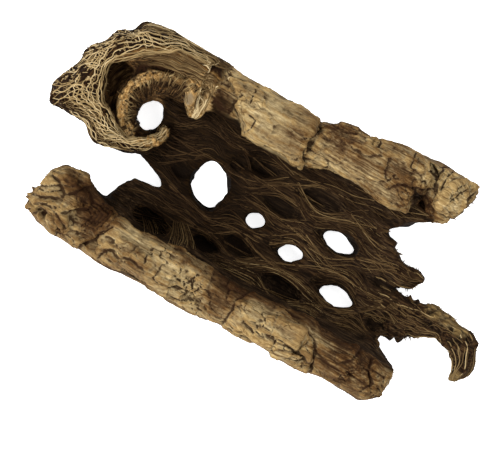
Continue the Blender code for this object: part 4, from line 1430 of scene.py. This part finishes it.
# %% [markdown]
# ## Strands of the prongs and the curl's tip
# The prongs are torn ends of the same woven wood. Short pieces of strand run along them, swing
# against their neighbours and twist slowly round. The hook has the most, and they get paler
# towards its end. The loose tip at the end of the knot's curl has pale ones too.

# %% Strands of the prongs and the curl's tip
PRONG_STRANDS, HOOK_STRANDS, TIP_STRANDS = 40, 58, 20
# Millimetres from one crossing of neighbours to the next, and how much of each strand is torn away
PRONG_CELL = 8.0
TORN_LEVEL = -0.25
# Least radius and what chance adds to it, and how far the strands stand off the skin
PRONG_RADIUS, PRONG_RAISED = (0.1, 0.12), 0.9


def prong_strands(stations, turns, seed, added_shade, count=PRONG_STRANDS, lit=0.0):
    middles = np.array([middle for middle, _, _ in stations], float)
    widths = np.array([(half_width, half_height) for _, half_width, half_height in stations], float)
    line = even_line(np.column_stack([middles, widths]), NET_STEP)
    share = np.linspace(0, 1, len(line))
    ahead = unit(np.gradient(line[:, :3], axis=0))
    side = unit(np.column_stack([-ahead[:, 1], ahead[:, 0], 0 * share]))
    up = np.cross(ahead, side)
    made = []
    for number in range(count):
        chance = chance_of(number, seed)
        place = lane(share * len(line) * NET_STEP, number * 3.0)
        swing = swung(number, 2 * math.pi * place[:, 0] / PRONG_CELL + 0.4 * number)
        turn = 2 * math.pi * (number + swing + 1.3 * hills(place, (8.0, 3.0, 2.0), 26)) / count
        turn = turn + 2 * math.pi * turns * share
        offset = side * (np.cos(turn) * line[:, 3])[:, None] + up * (np.sin(turn) * line[:, 4])[:, None]
        kept = hills(place, (17.0, 2.0, 2.0), 27) > TORN_LEVEL
        for start, end in runs(kept, 2 * SHORTEST_RUN):
            shade = added_shade + 0.25 + 0.4 * chance ** 2 + lit * ramp(share[start:end], 0.35, 0.7)
            part = (line[:, :3] + offset)[start:end]
            made += skin_strands(part, varied(*PRONG_RADIUS, chance), shade, PRONG_RAISED)
    return made


hook_strands = prong_strands(HOOK, 0.12, 21, 0.04, HOOK_STRANDS, 0.14)
torn_strands = hook_strands + prong_strands(MIDDLE_PRONG, 0.1, 22, 0.05)
prong_fibres = tubes("prong_strands", torn_strands + prong_strands(CURL_TIP, 0.12, 23, 0.2, TIP_STRANDS))

# %% [markdown]
# ## Fibres over the pocket beside the horn
# One pit next to the low rim is spanned by a fan of thin fibres, all that is left of the soft wood
# between two strands. They hang a little between their ends. A denser tuft hangs beside them.

# %% Fibres over the pocket beside the horn
FAN_FIBRES = 24
FAN_TOP = ((-46.8, -27.1), (-37.1, -24.4))
FAN_BOTTOM = ((-40.1, -33.3), (-32.2, -25.2))
# The loose tuft beside it: where its fibres start and end
TUFT_FIBRES = 26
TUFT_TOP = ((-33.5, -21.5), (-28.7, -20))
TUFT_BOTTOM = ((-30, -31), (-19.5, -27.4))


def fan_fibres(count, top, bottom, shade):
    made = []
    for number in range(count):
        chance, other = chance_of(number, 5) - 0.5, chance_of(number, 6) - 0.5
        share = (number + 0.5 + 5.0 * chance) / count
        start = np.array(top[0]) * (1 - share) + np.array(top[1]) * share + (1.6 * other, 0.8 * chance)
        share = (number + 0.5 + 5.0 * other) / count
        end = np.array(bottom[0]) * (1 - share) + np.array(bottom[1]) * share
        bow = np.array((1.5, -0.5)) * (math.sin(math.pi * share) + 2 * chance)
        flat = even_line([start, (start + end) / 2 + bow, end], 0.7)
        places, found = fallen(flat)
        if not found.any():
            continue
        ends = np.flatnonzero(found)[[0, -1]]
        line = places[ends[0]:ends[1] + 1]
        if len(line) < SHORTEST_RUN:
            continue
        reach = np.linspace(0, 1, len(line))
        hung = line[0, 2] * (1 - reach) + line[-1, 2] * reach - 7.0 * reach * (1 - reach)
        line[:, 2] = np.maximum(line[:, 2], hung) + 0.1
        line = smoothed(line, 4)
        radii = tapered(len(line), 0.1 + 0.05 * other, 0.6)
        made.append((line, radii, upright(len(line)), shade + 0.15 * reach + 0.3 * chance))
    return made


fan = fan_fibres(FAN_FIBRES, FAN_TOP, FAN_BOTTOM, 0.3)
tuft = fan_fibres(TUFT_FIBRES, TUFT_TOP, TUFT_BOTTOM, 0.34)
pocket_fibres = tubes("pocket_fibres", fan + tuft)

# %% [markdown]
# ## Splinters and fringe
# Broken ends of the trunk bristle with short splinters along the grain, and a thin dark fringe of
# fibre hangs on along the rims' outer edges. They are tiny, but the outline looks cut with a knife
# without them.

# %% Splinters and fringe
SPLINTERS = 150
FRINGE, HOOK_FRINGE, KNOT_FRINGE = 260, 170, 130
SPLINTER_LENGTH = (0.6, 2.2)
FRINGE_LENGTH = (0.4, 1.3)
HOOK_FRINGE_LENGTH = (0.5, 1.9)
# Teeth of the broken floor and the middle prong: radius and paleness at the root and the tip, and both
# places
TOOTH_RADII, TOOTH_SHADES = (2.4, 0.15), (0.2, 0.4)
TEETH = (
    ((47, 16, 12), (54.8, 18.3, 12.5)), ((50, 13, 11), (59, 15, 12)), ((44, 19, 14), (49.4, 21, 15)),
    ((65, 9, 13), (72.6, 10, 14)), ((63, 4.5, 11), (68.5, 3.9, 12)), ((70, 0, 10), (76, -2.2, 11)),
    ((54, 11.6, 11), (66.5, 11.4, 12)), ((52, 14.5, 11), (58.2, 12.6, 12)),
)
# Splinters stand on the ends beyond these X, above this height. Fringe hangs on the outside of the
# rims, beyond this Y and above its own height
ENDS_X, ENDS_BOTTOM = (-78, 55), 4
OUTSIDE_Y, OUTSIDE_BOTTOM = 38, 12


def picked(allowed, count, seed):
    """A fixed random choice of places from a list."""
    allowed = np.flatnonzero(allowed)
    order = hashed(allowed, allowed * 0 + seed, allowed * 0, 9)
    return allowed[np.argsort(order, kind="stable")[:count]]


def bristles(spots, ahead, lengths, seed, radius, shade):
    """Short thin tapered fibres that leave the skin at a low angle."""
    made = []
    for number, (spot, way) in enumerate(zip(spots, ahead)):
        chance, other = chance_of(number, seed, 0, 9), chance_of(number, seed, 1, 9)
        length = lengths[0] + (lengths[1] - lengths[0]) * chance ** 2
        bent = unit(way + np.array((0.25 * (other - 0.5), 0.5 * (chance - 0.5), 0.4 * (other - 0.4))))
        line = np.array([spot - 0.5 * way, spot + 0.35 * length * way, spot + length * bent])
        line = inside_box(even_line(line, length / 4))
        radii = radius * np.linspace(1.0, 0.25, len(line))
        normals = np.tile((0.13, 0.21, 0.97), (len(line), 1))
        made.append((line, radii, normals, shade + 0.3 * (other - 0.5)))
    return made


skin_points = to_drawing(vertex_values(wood.data, "co"))
skin_facing = vertex_values(wood.data, "normal")
ends = (skin_points[:, 0] < ENDS_X[0]) | (skin_points[:, 0] > ENDS_X[1])
ends &= (np.abs(skin_facing[:, 0]) > 0.62) & (skin_points[:, 2] > ENDS_BOTTOM)
ends = picked(ends, SPLINTERS, 3)
end_ways = np.column_stack([0.8 * np.sign(skin_facing[ends, 0]), 0.25 * skin_facing[ends, 1], 0 * ends])
end_ways = unit(end_ways)
splinters = bristles(skin_points[ends], end_ways, SPLINTER_LENGTH, 31, 0.3, 0.45)
outer = (np.abs(skin_facing[:, 1]) > 0.55) & (np.abs(skin_facing[:, 2]) < 0.75)
outer &= (skin_points[:, 2] > OUTSIDE_BOTTOM) & (np.abs(skin_points[:, 1]) > OUTSIDE_Y)
outer = picked(outer, FRINGE, 4)
edge_ways = unit(skin_facing[outer] * (1.0, 0.55, 0.6) + np.array((0.7, 0, 0)))
fringe = bristles(skin_points[outer], edge_ways, FRINGE_LENGTH, 32, 0.2, 0.22)
on_hook = beyond_prong(skin_points, HOOK) < 3.0
on_hook |= beyond_prong(skin_points, MIDDLE_PRONG) < 3.0
hook_spots = picked(on_hook & (np.abs(skin_facing[:, 2]) < 0.5), HOOK_FRINGE, 6)
hook_fringe = bristles(
    skin_points[hook_spots], skin_facing[hook_spots], HOOK_FRINGE_LENGTH, 33, 0.28, 0.26,
)
turn, distance = polar(skin_points)
on_knot = (distance > value_at(band_reach, turn) + 3) & (np.abs(skin_facing[:, 2]) < 0.4)
on_knot &= (skin_points[:, 2] > 20) & (skin_points[:, 0] < -50) & (skin_points[:, 1] > -11)
knot_spots = picked(on_knot, KNOT_FRINGE, 7)
knot_fringe = bristles(skin_points[knot_spots], skin_facing[knot_spots], FRINGE_LENGTH, 34, 0.26, 0.32)
teeth = []
for root, tip in TEETH:
    line = even_line([root, tip], 0.8)
    radii, shades = np.linspace(*TOOTH_RADII, len(line)), np.linspace(*TOOTH_SHADES, len(line))
    teeth.append((line, radii, upright(len(line)), shades))
bristle = tubes("splinters", splinters + fringe + hook_fringe + knot_fringe + teeth)

# %% [markdown]
# ## Small parts of a material
# Each material reads the shares that were saved on the vertices and mixes its colours by them. These
# small functions keep that short: read a share, stretch a value, mix two colours, draw a noise with a
# size in mm, and turn a value into a colour or into a small unevenness.

# %% Small parts of a material
# Dry wood fibre has the IOR of wood and hardly a shine
WOOD_IOR, WOOD_GLOSS = 1.45, 0.05


def share_of(tree, name):
    return node(tree, "ShaderNodeAttribute", {"attribute_name": name}).outputs["Fac"]


def grain_of(tree):
    """The places along and across the grain, in mm."""
    return node(tree, "ShaderNodeAttribute", {"attribute_name": "grain"}).outputs["Vector"]


def remap(tree, value, start, end, low=0.0, high=1.0):
    span = {"From_Min": start, "From_Max": end, "To_Min": low, "To_Max": high}
    return node(tree, "ShaderNodeMapRange", Value=value, **span).outputs[0]


def mixed(tree, share, first, second, blend="MIX"):
    """Mixes two colours; each is a socket or a hex colour."""
    made = node(tree, "ShaderNodeMix", {"data_type": "RGBA", "blend_type": blend}, i0=share)
    for place, colour in ((6, first), (7, second)):
        if isinstance(colour, str):
            made.inputs[place].default_value = srgb(colour)
        else:
            tree.links.new(colour, made.inputs[place])
    return made.outputs[2]


def combined(tree, operation, first, second):
    return node(tree, "ShaderNodeMath", {"operation": operation}, i0=first, i1=second).outputs[0]


def scaled(tree, places, size):
    """Places in units of a pattern's size, which is in mm along each of the three axes."""
    return node(tree, "ShaderNodeMapping", i0=places, Scale=[1.0 / mm for mm in size]).outputs[0]


def noise(tree, places, size, detail=3.0, roughness=0.55):
    """Noise whose hills are about as far apart as size says."""
    settings = {"Scale": 1.0, "Detail": detail, "Roughness": roughness}
    return node(tree, "ShaderNodeTexNoise", Vector=scaled(tree, places, size), **settings).outputs["Fac"]


def ramp_colours(tree, value, stops):
    """A colour ramp from (place, hex colour) pairs."""
    made = node(tree, "ShaderNodeValToRGB", i0=value)
    handles = made.color_ramp.elements
    while len(handles) < len(stops):
        handles.new(0.5)
    for handle, (place, code) in zip(handles, stops):
        handle.position = place
    for handle, (place, code) in zip(handles, stops):
        handle.color = srgb(code)
    return made.outputs["Color"]


def bumped(tree, height, strength, depth, below=None):
    """Small unevenness, its depth in mm, on top of the one below."""
    made = node(tree, "ShaderNodeBump", Strength=strength, Distance=depth * MM, Height=height)
    if below is not None:
        tree.links.new(below, made.inputs["Normal"])
    return made.outputs["Normal"]


def finish(tree, shader, colour, surface, roughness):
    """Gives a dry wood its colour, its unevenness and its dull surface."""
    tree.links.new(colour, shader.inputs["Base Color"])
    tree.links.new(surface, shader.inputs["Normal"])
    shader.inputs["Roughness"].default_value = roughness
    shader.inputs["IOR"].default_value = WOOD_IOR
    shader.inputs["Specular IOR Level"].default_value = WOOD_GLOSS


print("white as shaders use it:", srgb("ffffff"))

# %% [markdown]
# ## Material: weathered cholla wood
# Dry, grey-gold wood that sun and sand have bleached. It has no gloss. The pale outer wood has fine
# dark grain lines and brown stains, the inside is dark brown fibre, and every dip is darker with dirt
# and painted shade.
# One material covers both, because the real skin has no seam between them. This cell draws the
# patterns at their real size, and the tone of the pale wood: how bleached it is, with the grain lines,
# broader lines and dust making it a little lighter or darker.

# %% Material: weathered cholla wood
# Sizes of the patterns along the grain, across it and in depth
GRAIN_SIZE, BROAD_SIZE, DUST_SIZE = (13.0, 0.75, 0.75), (24.0, 2.2, 2.2), (2.0, 1.2, 1.2)
# A noise seldom leaves this range
NOISE_LOW, NOISE_HIGH = 0.3, 0.7
# What each pattern adds to the tone where it is low and where it is high
GRAIN_TONE, BROAD_TONE, DUST_TONE = (-0.3, 0.26), (-0.16, 0.16), (0.12, -0.14)
# How much of the grain shows where the wood isn't lined
PLAIN_GRAIN = 0.45
PALE_WOOD = ((0.0, "2c1d10"), (0.25, "4b3822"), (0.5, "705e41"), (0.75, "93815d"), (1.0, "b8a47f"))

weathered_wood, tree, shader = new_material("weathered_cholla_wood")
places = grain_of(tree)
grain_lines = noise(tree, places, GRAIN_SIZE, 4.0, 0.65)
broad_lines = noise(tree, places, BROAD_SIZE)
dust = noise(tree, places, DUST_SIZE, 4.0, 0.7)

shown_lines = remap(tree, share_of(tree, "lined"), 0.0, 1.0, PLAIN_GRAIN, 1.0)
grain_tone = remap(tree, grain_lines, NOISE_LOW, NOISE_HIGH, *GRAIN_TONE)
tone = combined(tree, "ADD", share_of(tree, "paleness"), combined(tree, "MULTIPLY", grain_tone, shown_lines))
for pattern, added in ((broad_lines, BROAD_TONE), (dust, DUST_TONE)):
    tone = combined(tree, "ADD", tone, remap(tree, pattern, NOISE_LOW, NOISE_HIGH, *added))
pale = ramp_colours(tree, tone, PALE_WOOD)
print("stops of the pale wood:", len(PALE_WOOD))

# %% [markdown]
# ## Fine checks
# Drying wood cracks into small blocks that are long along the grain. The edges of stretched cells,
# bent by a noise so that no line is straight, draw these checks in patches. The wood inside the
# trough and in the knot is fibrous and has none.

# %% Fine checks
CHECK_SIZE = (6.0, 2.2, 2.2)
# Width of a check and sideways bend of its lines as shares of a cell, and hills of the bend per mm
CHECK_WIDTH, CHECK_BEND, CHECK_BEND_SCALE = 0.06, 0.7, 0.35
# Size of the patches, and the heights of their noise where the checks begin and are fully open
CHECKED_SIZE, CHECKED_FROM, CHECKED_TO = (12.0, 7.0, 7.0), 0.5, 0.66

bend = node(tree, "ShaderNodeTexNoise", Vector=places, Scale=CHECK_BEND_SCALE, Detail=3.0).outputs["Color"]
bend = node(tree, "ShaderNodeVectorMath", {"operation": "SCALE"}, i0=bend, Scale=CHECK_BEND).outputs[0]
straight = scaled(tree, places, CHECK_SIZE)
bent = node(tree, "ShaderNodeVectorMath", {"operation": "ADD"}, i0=straight, i1=bend).outputs[0]
cells = node(tree, "ShaderNodeTexVoronoi", {"feature": "DISTANCE_TO_EDGE"}, Vector=bent, Scale=1.0)
checks = remap(tree, cells.outputs["Distance"], 0.0, CHECK_WIDTH, 1.0, 0.0)
patches = remap(tree, noise(tree, places, CHECKED_SIZE), CHECKED_FROM, CHECKED_TO)
fibrous = combined(tree, "MAXIMUM", share_of(tree, "inside"), share_of(tree, "knot"))
checks = combined(tree, "MULTIPLY", checks, patches)
checks = combined(tree, "MULTIPLY", checks, combined(tree, "SUBTRACT", 1.0, fibrous))
print("size of the checks in mm:", CHECK_SIZE[:2])

# %% [markdown]
# ## Colours over each other
# Each kind of wood has its own ramp from its dark grain lines to its pale ones. They lie over each
# other like glazes, each where its share says: first the kinds of wood, then painted shade and stains,
# then the checks, dirt with painted shade in the dips, wear with a painted highlight on ridges, and
# the cracks on top.

# %% Colours over each other
WOODS = {
    "deep": ((0.0, "060301"), (0.5, "130b04"), (1.0, "271a0b")),
    "open": ((0.0, "0a0502"), (0.35, "150d06"), (0.6, "2b1f14"), (1.0, "4b3b27")),
    "face": ((0.0, "2b1a0b"), (0.5, "5f4626"), (1.0, "8a6b3e")),
    "crest": ((0.0, "3d2a14"), (0.5, "7d633f"), (1.0, "b39a6e")),
    "prong": ((0.0, "1f150b"), (0.6, "4c3b24"), (1.0, "80694a")),
    "ridge": ((0.0, "2a2013"), (0.5, "544730"), (1.0, "7d6c49")),
    # Near black under the knot's net: its dark fibre, and painted shade for the net's open cells
    "knot": ((0.0, "070301"), (0.6, "180e06"), (1.0, "46331c")),
    "channel": ((0.0, "23170c"), (0.5, "573f25"), (1.0, "856741")),
    "back": ((0.0, "33251a"), (0.5, "5b4730"), (1.0, "7e6746")),
}
GREY_SPOT, SHADE, DEEP_SHADE, WEAR_HIGHLIGHT_PALE = "665c4c", "1f150b", "080402", "c9b184"
CHECK_BROWN, CRACK_BROWN, OUTER_DIRT_SHADE, FLOOR_DIRT_SHADE = "331d0d", "1f0f06", "24140a", "0d0703"
# Depths between which dips get dirt and painted shade, and heights between which ridges get wear and
# a painted highlight, in mm, and how much shows
DIRT_SHADE_FROM, DIRT_SHADE_TO, DIRT_SHADE_SHOWN = 0.02, 0.28, 0.85
WEAR_HIGHLIGHT_FROM, WEAR_HIGHLIGHT_TO, WEAR_HIGHLIGHT_SHOWN = -0.03, -0.26, 0.42
# How open a crack is where its colour begins, and how much the colour of checks and cracks shows
CRACK_FROM, CRACK_SHOWN, CHECK_SHOWN = 0.4, 0.8, 0.7
WOOD_ROUGHNESS, WOOD_BUMP_DEPTH = 0.88, 0.5

lines = remap(tree, grain_lines, NOISE_LOW, NOISE_HIGH)
woods = {name: ramp_colours(tree, lines, stops) for name, stops in WOODS.items()}
# The floor's painted shade and light: near black deep wood, and browner open wood where it is lit
dark = mixed(tree, share_of(tree, "lit"), woods["deep"], woods["open"])
# Where each glaze lies, how much of it shows there, and its colour
glazes = (
    ("back", 1.0, woods["back"]), ("prongs", 1.0, woods["prong"]), ("inside", 1.0, dark),
    ("ridge", 1.0, woods["ridge"]), ("knot", 1.0, woods["knot"]), ("face", 1.0, woods["face"]),
    ("shaded", 0.75, woods["channel"]), ("crest", 1.0, woods["crest"]),
    ("channel", 0.8, woods["channel"]), ("tip", 1.0, woods["crest"]), ("spot", 0.85, GREY_SPOT),
    ("under", 0.8, SHADE), ("sunk", 0.85, DEEP_SHADE),
)
colour = pale
for where, shown, above in glazes:
    amount = share_of(tree, where)
    if shown < 1.0:
        amount = remap(tree, amount, 0.0, 1.0, 0.0, shown)
    colour = mixed(tree, amount, colour, above)
colour = mixed(tree, remap(tree, checks, 0.0, 1.0, 0.0, CHECK_SHOWN), colour, CHECK_BROWN)
# Dirt and painted shade darken the dips; wear and a painted highlight make the ridges paler
dirt_and_shade = mixed(tree, share_of(tree, "inside"), OUTER_DIRT_SHADE, FLOOR_DIRT_SHADE)
colour = mixed(tree, remap(tree, share_of(tree, "dips"), DIRT_SHADE_FROM, DIRT_SHADE_TO, 0.0, DIRT_SHADE_SHOWN), colour, dirt_and_shade)
wear_highlight = remap(tree, share_of(tree, "dips"), WEAR_HIGHLIGHT_FROM, WEAR_HIGHLIGHT_TO, 0.0, WEAR_HIGHLIGHT_SHOWN)
colour = mixed(tree, wear_highlight, colour, WEAR_HIGHLIGHT_PALE, "SOFT_LIGHT")
cracked = remap(tree, share_of(tree, "cracks"), CRACK_FROM, 1.0, 0.0, CRACK_SHOWN)
colour = mixed(tree, cracked, colour, CRACK_BROWN)

surface = bumped(tree, grain_lines, 0.8, WOOD_BUMP_DEPTH)
surface = bumped(tree, dust, 0.7, WOOD_BUMP_DEPTH, surface)
surface = bumped(tree, combined(tree, "SUBTRACT", 1.0, checks), 0.8, WOOD_BUMP_DEPTH, surface)
finish(tree, shader, colour, surface, WOOD_ROUGHNESS)
print("wood nodes:", len(tree.nodes))

# %% [markdown]
# ## Material: dry cholla fibre
# The strands are the same wood without its bleached outer skin: dry and fibrous, from nearly black
# brown deep in the trough to pale straw on the knot. Their colour follows the paleness saved on
# each strand, with fine lines along it.

# %% Material: dry cholla fibre
FIBRE_LINE_SIZE, FIBRE_TONE = (6.0, 0.9, 0.9), (-0.16, 0.16)
FIBRE = ((0.0, "0a0603"), (0.25, "2b1d10"), (0.5, "534027"), (0.75, "8e7851"), (1.0, "c4b089"))
FIBRE_ROUGHNESS, FIBRE_BUMP_DEPTH = 0.85, 0.2

cholla_fibre, tree, shader = new_material("dry_cholla_fibre")
fibre_lines = noise(tree, grain_of(tree), FIBRE_LINE_SIZE, 3.0, 0.6)
added = remap(tree, fibre_lines, NOISE_LOW, NOISE_HIGH, *FIBRE_TONE)
colour = ramp_colours(tree, combined(tree, "ADD", share_of(tree, "paleness"), added), FIBRE)
finish(tree, shader, colour, bumped(tree, fibre_lines, 0.5, FIBRE_BUMP_DEPTH), FIBRE_ROUGHNESS)
print("fibre nodes:", len(tree.nodes))

# %% [markdown]
# ## Dress the pieces
# All of it is one grown thing, so every piece rides on the same body.

# %% Dress the pieces
def dress(thing, material):
    """Gives a piece its material, its body and smooth shading."""
    thing.data.materials.clear()
    thing.data.materials.append(material)
    thing.data.polygons.foreach_set("use_smooth", [True] * len(thing.data.polygons))
    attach(thing, "root")


dress(wood, weathered_wood)
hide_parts("cholla_wood")
pieces = (
    floor_fibres, floor_bundles, knot_net, knot_lining, inner_ribs, prong_fibres, pocket_fibres, bristle,
)
for piece in pieces:
    dress(piece, cholla_fibre)
    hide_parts("cholla_wood")
print("pieces:", 1 + len(pieces))
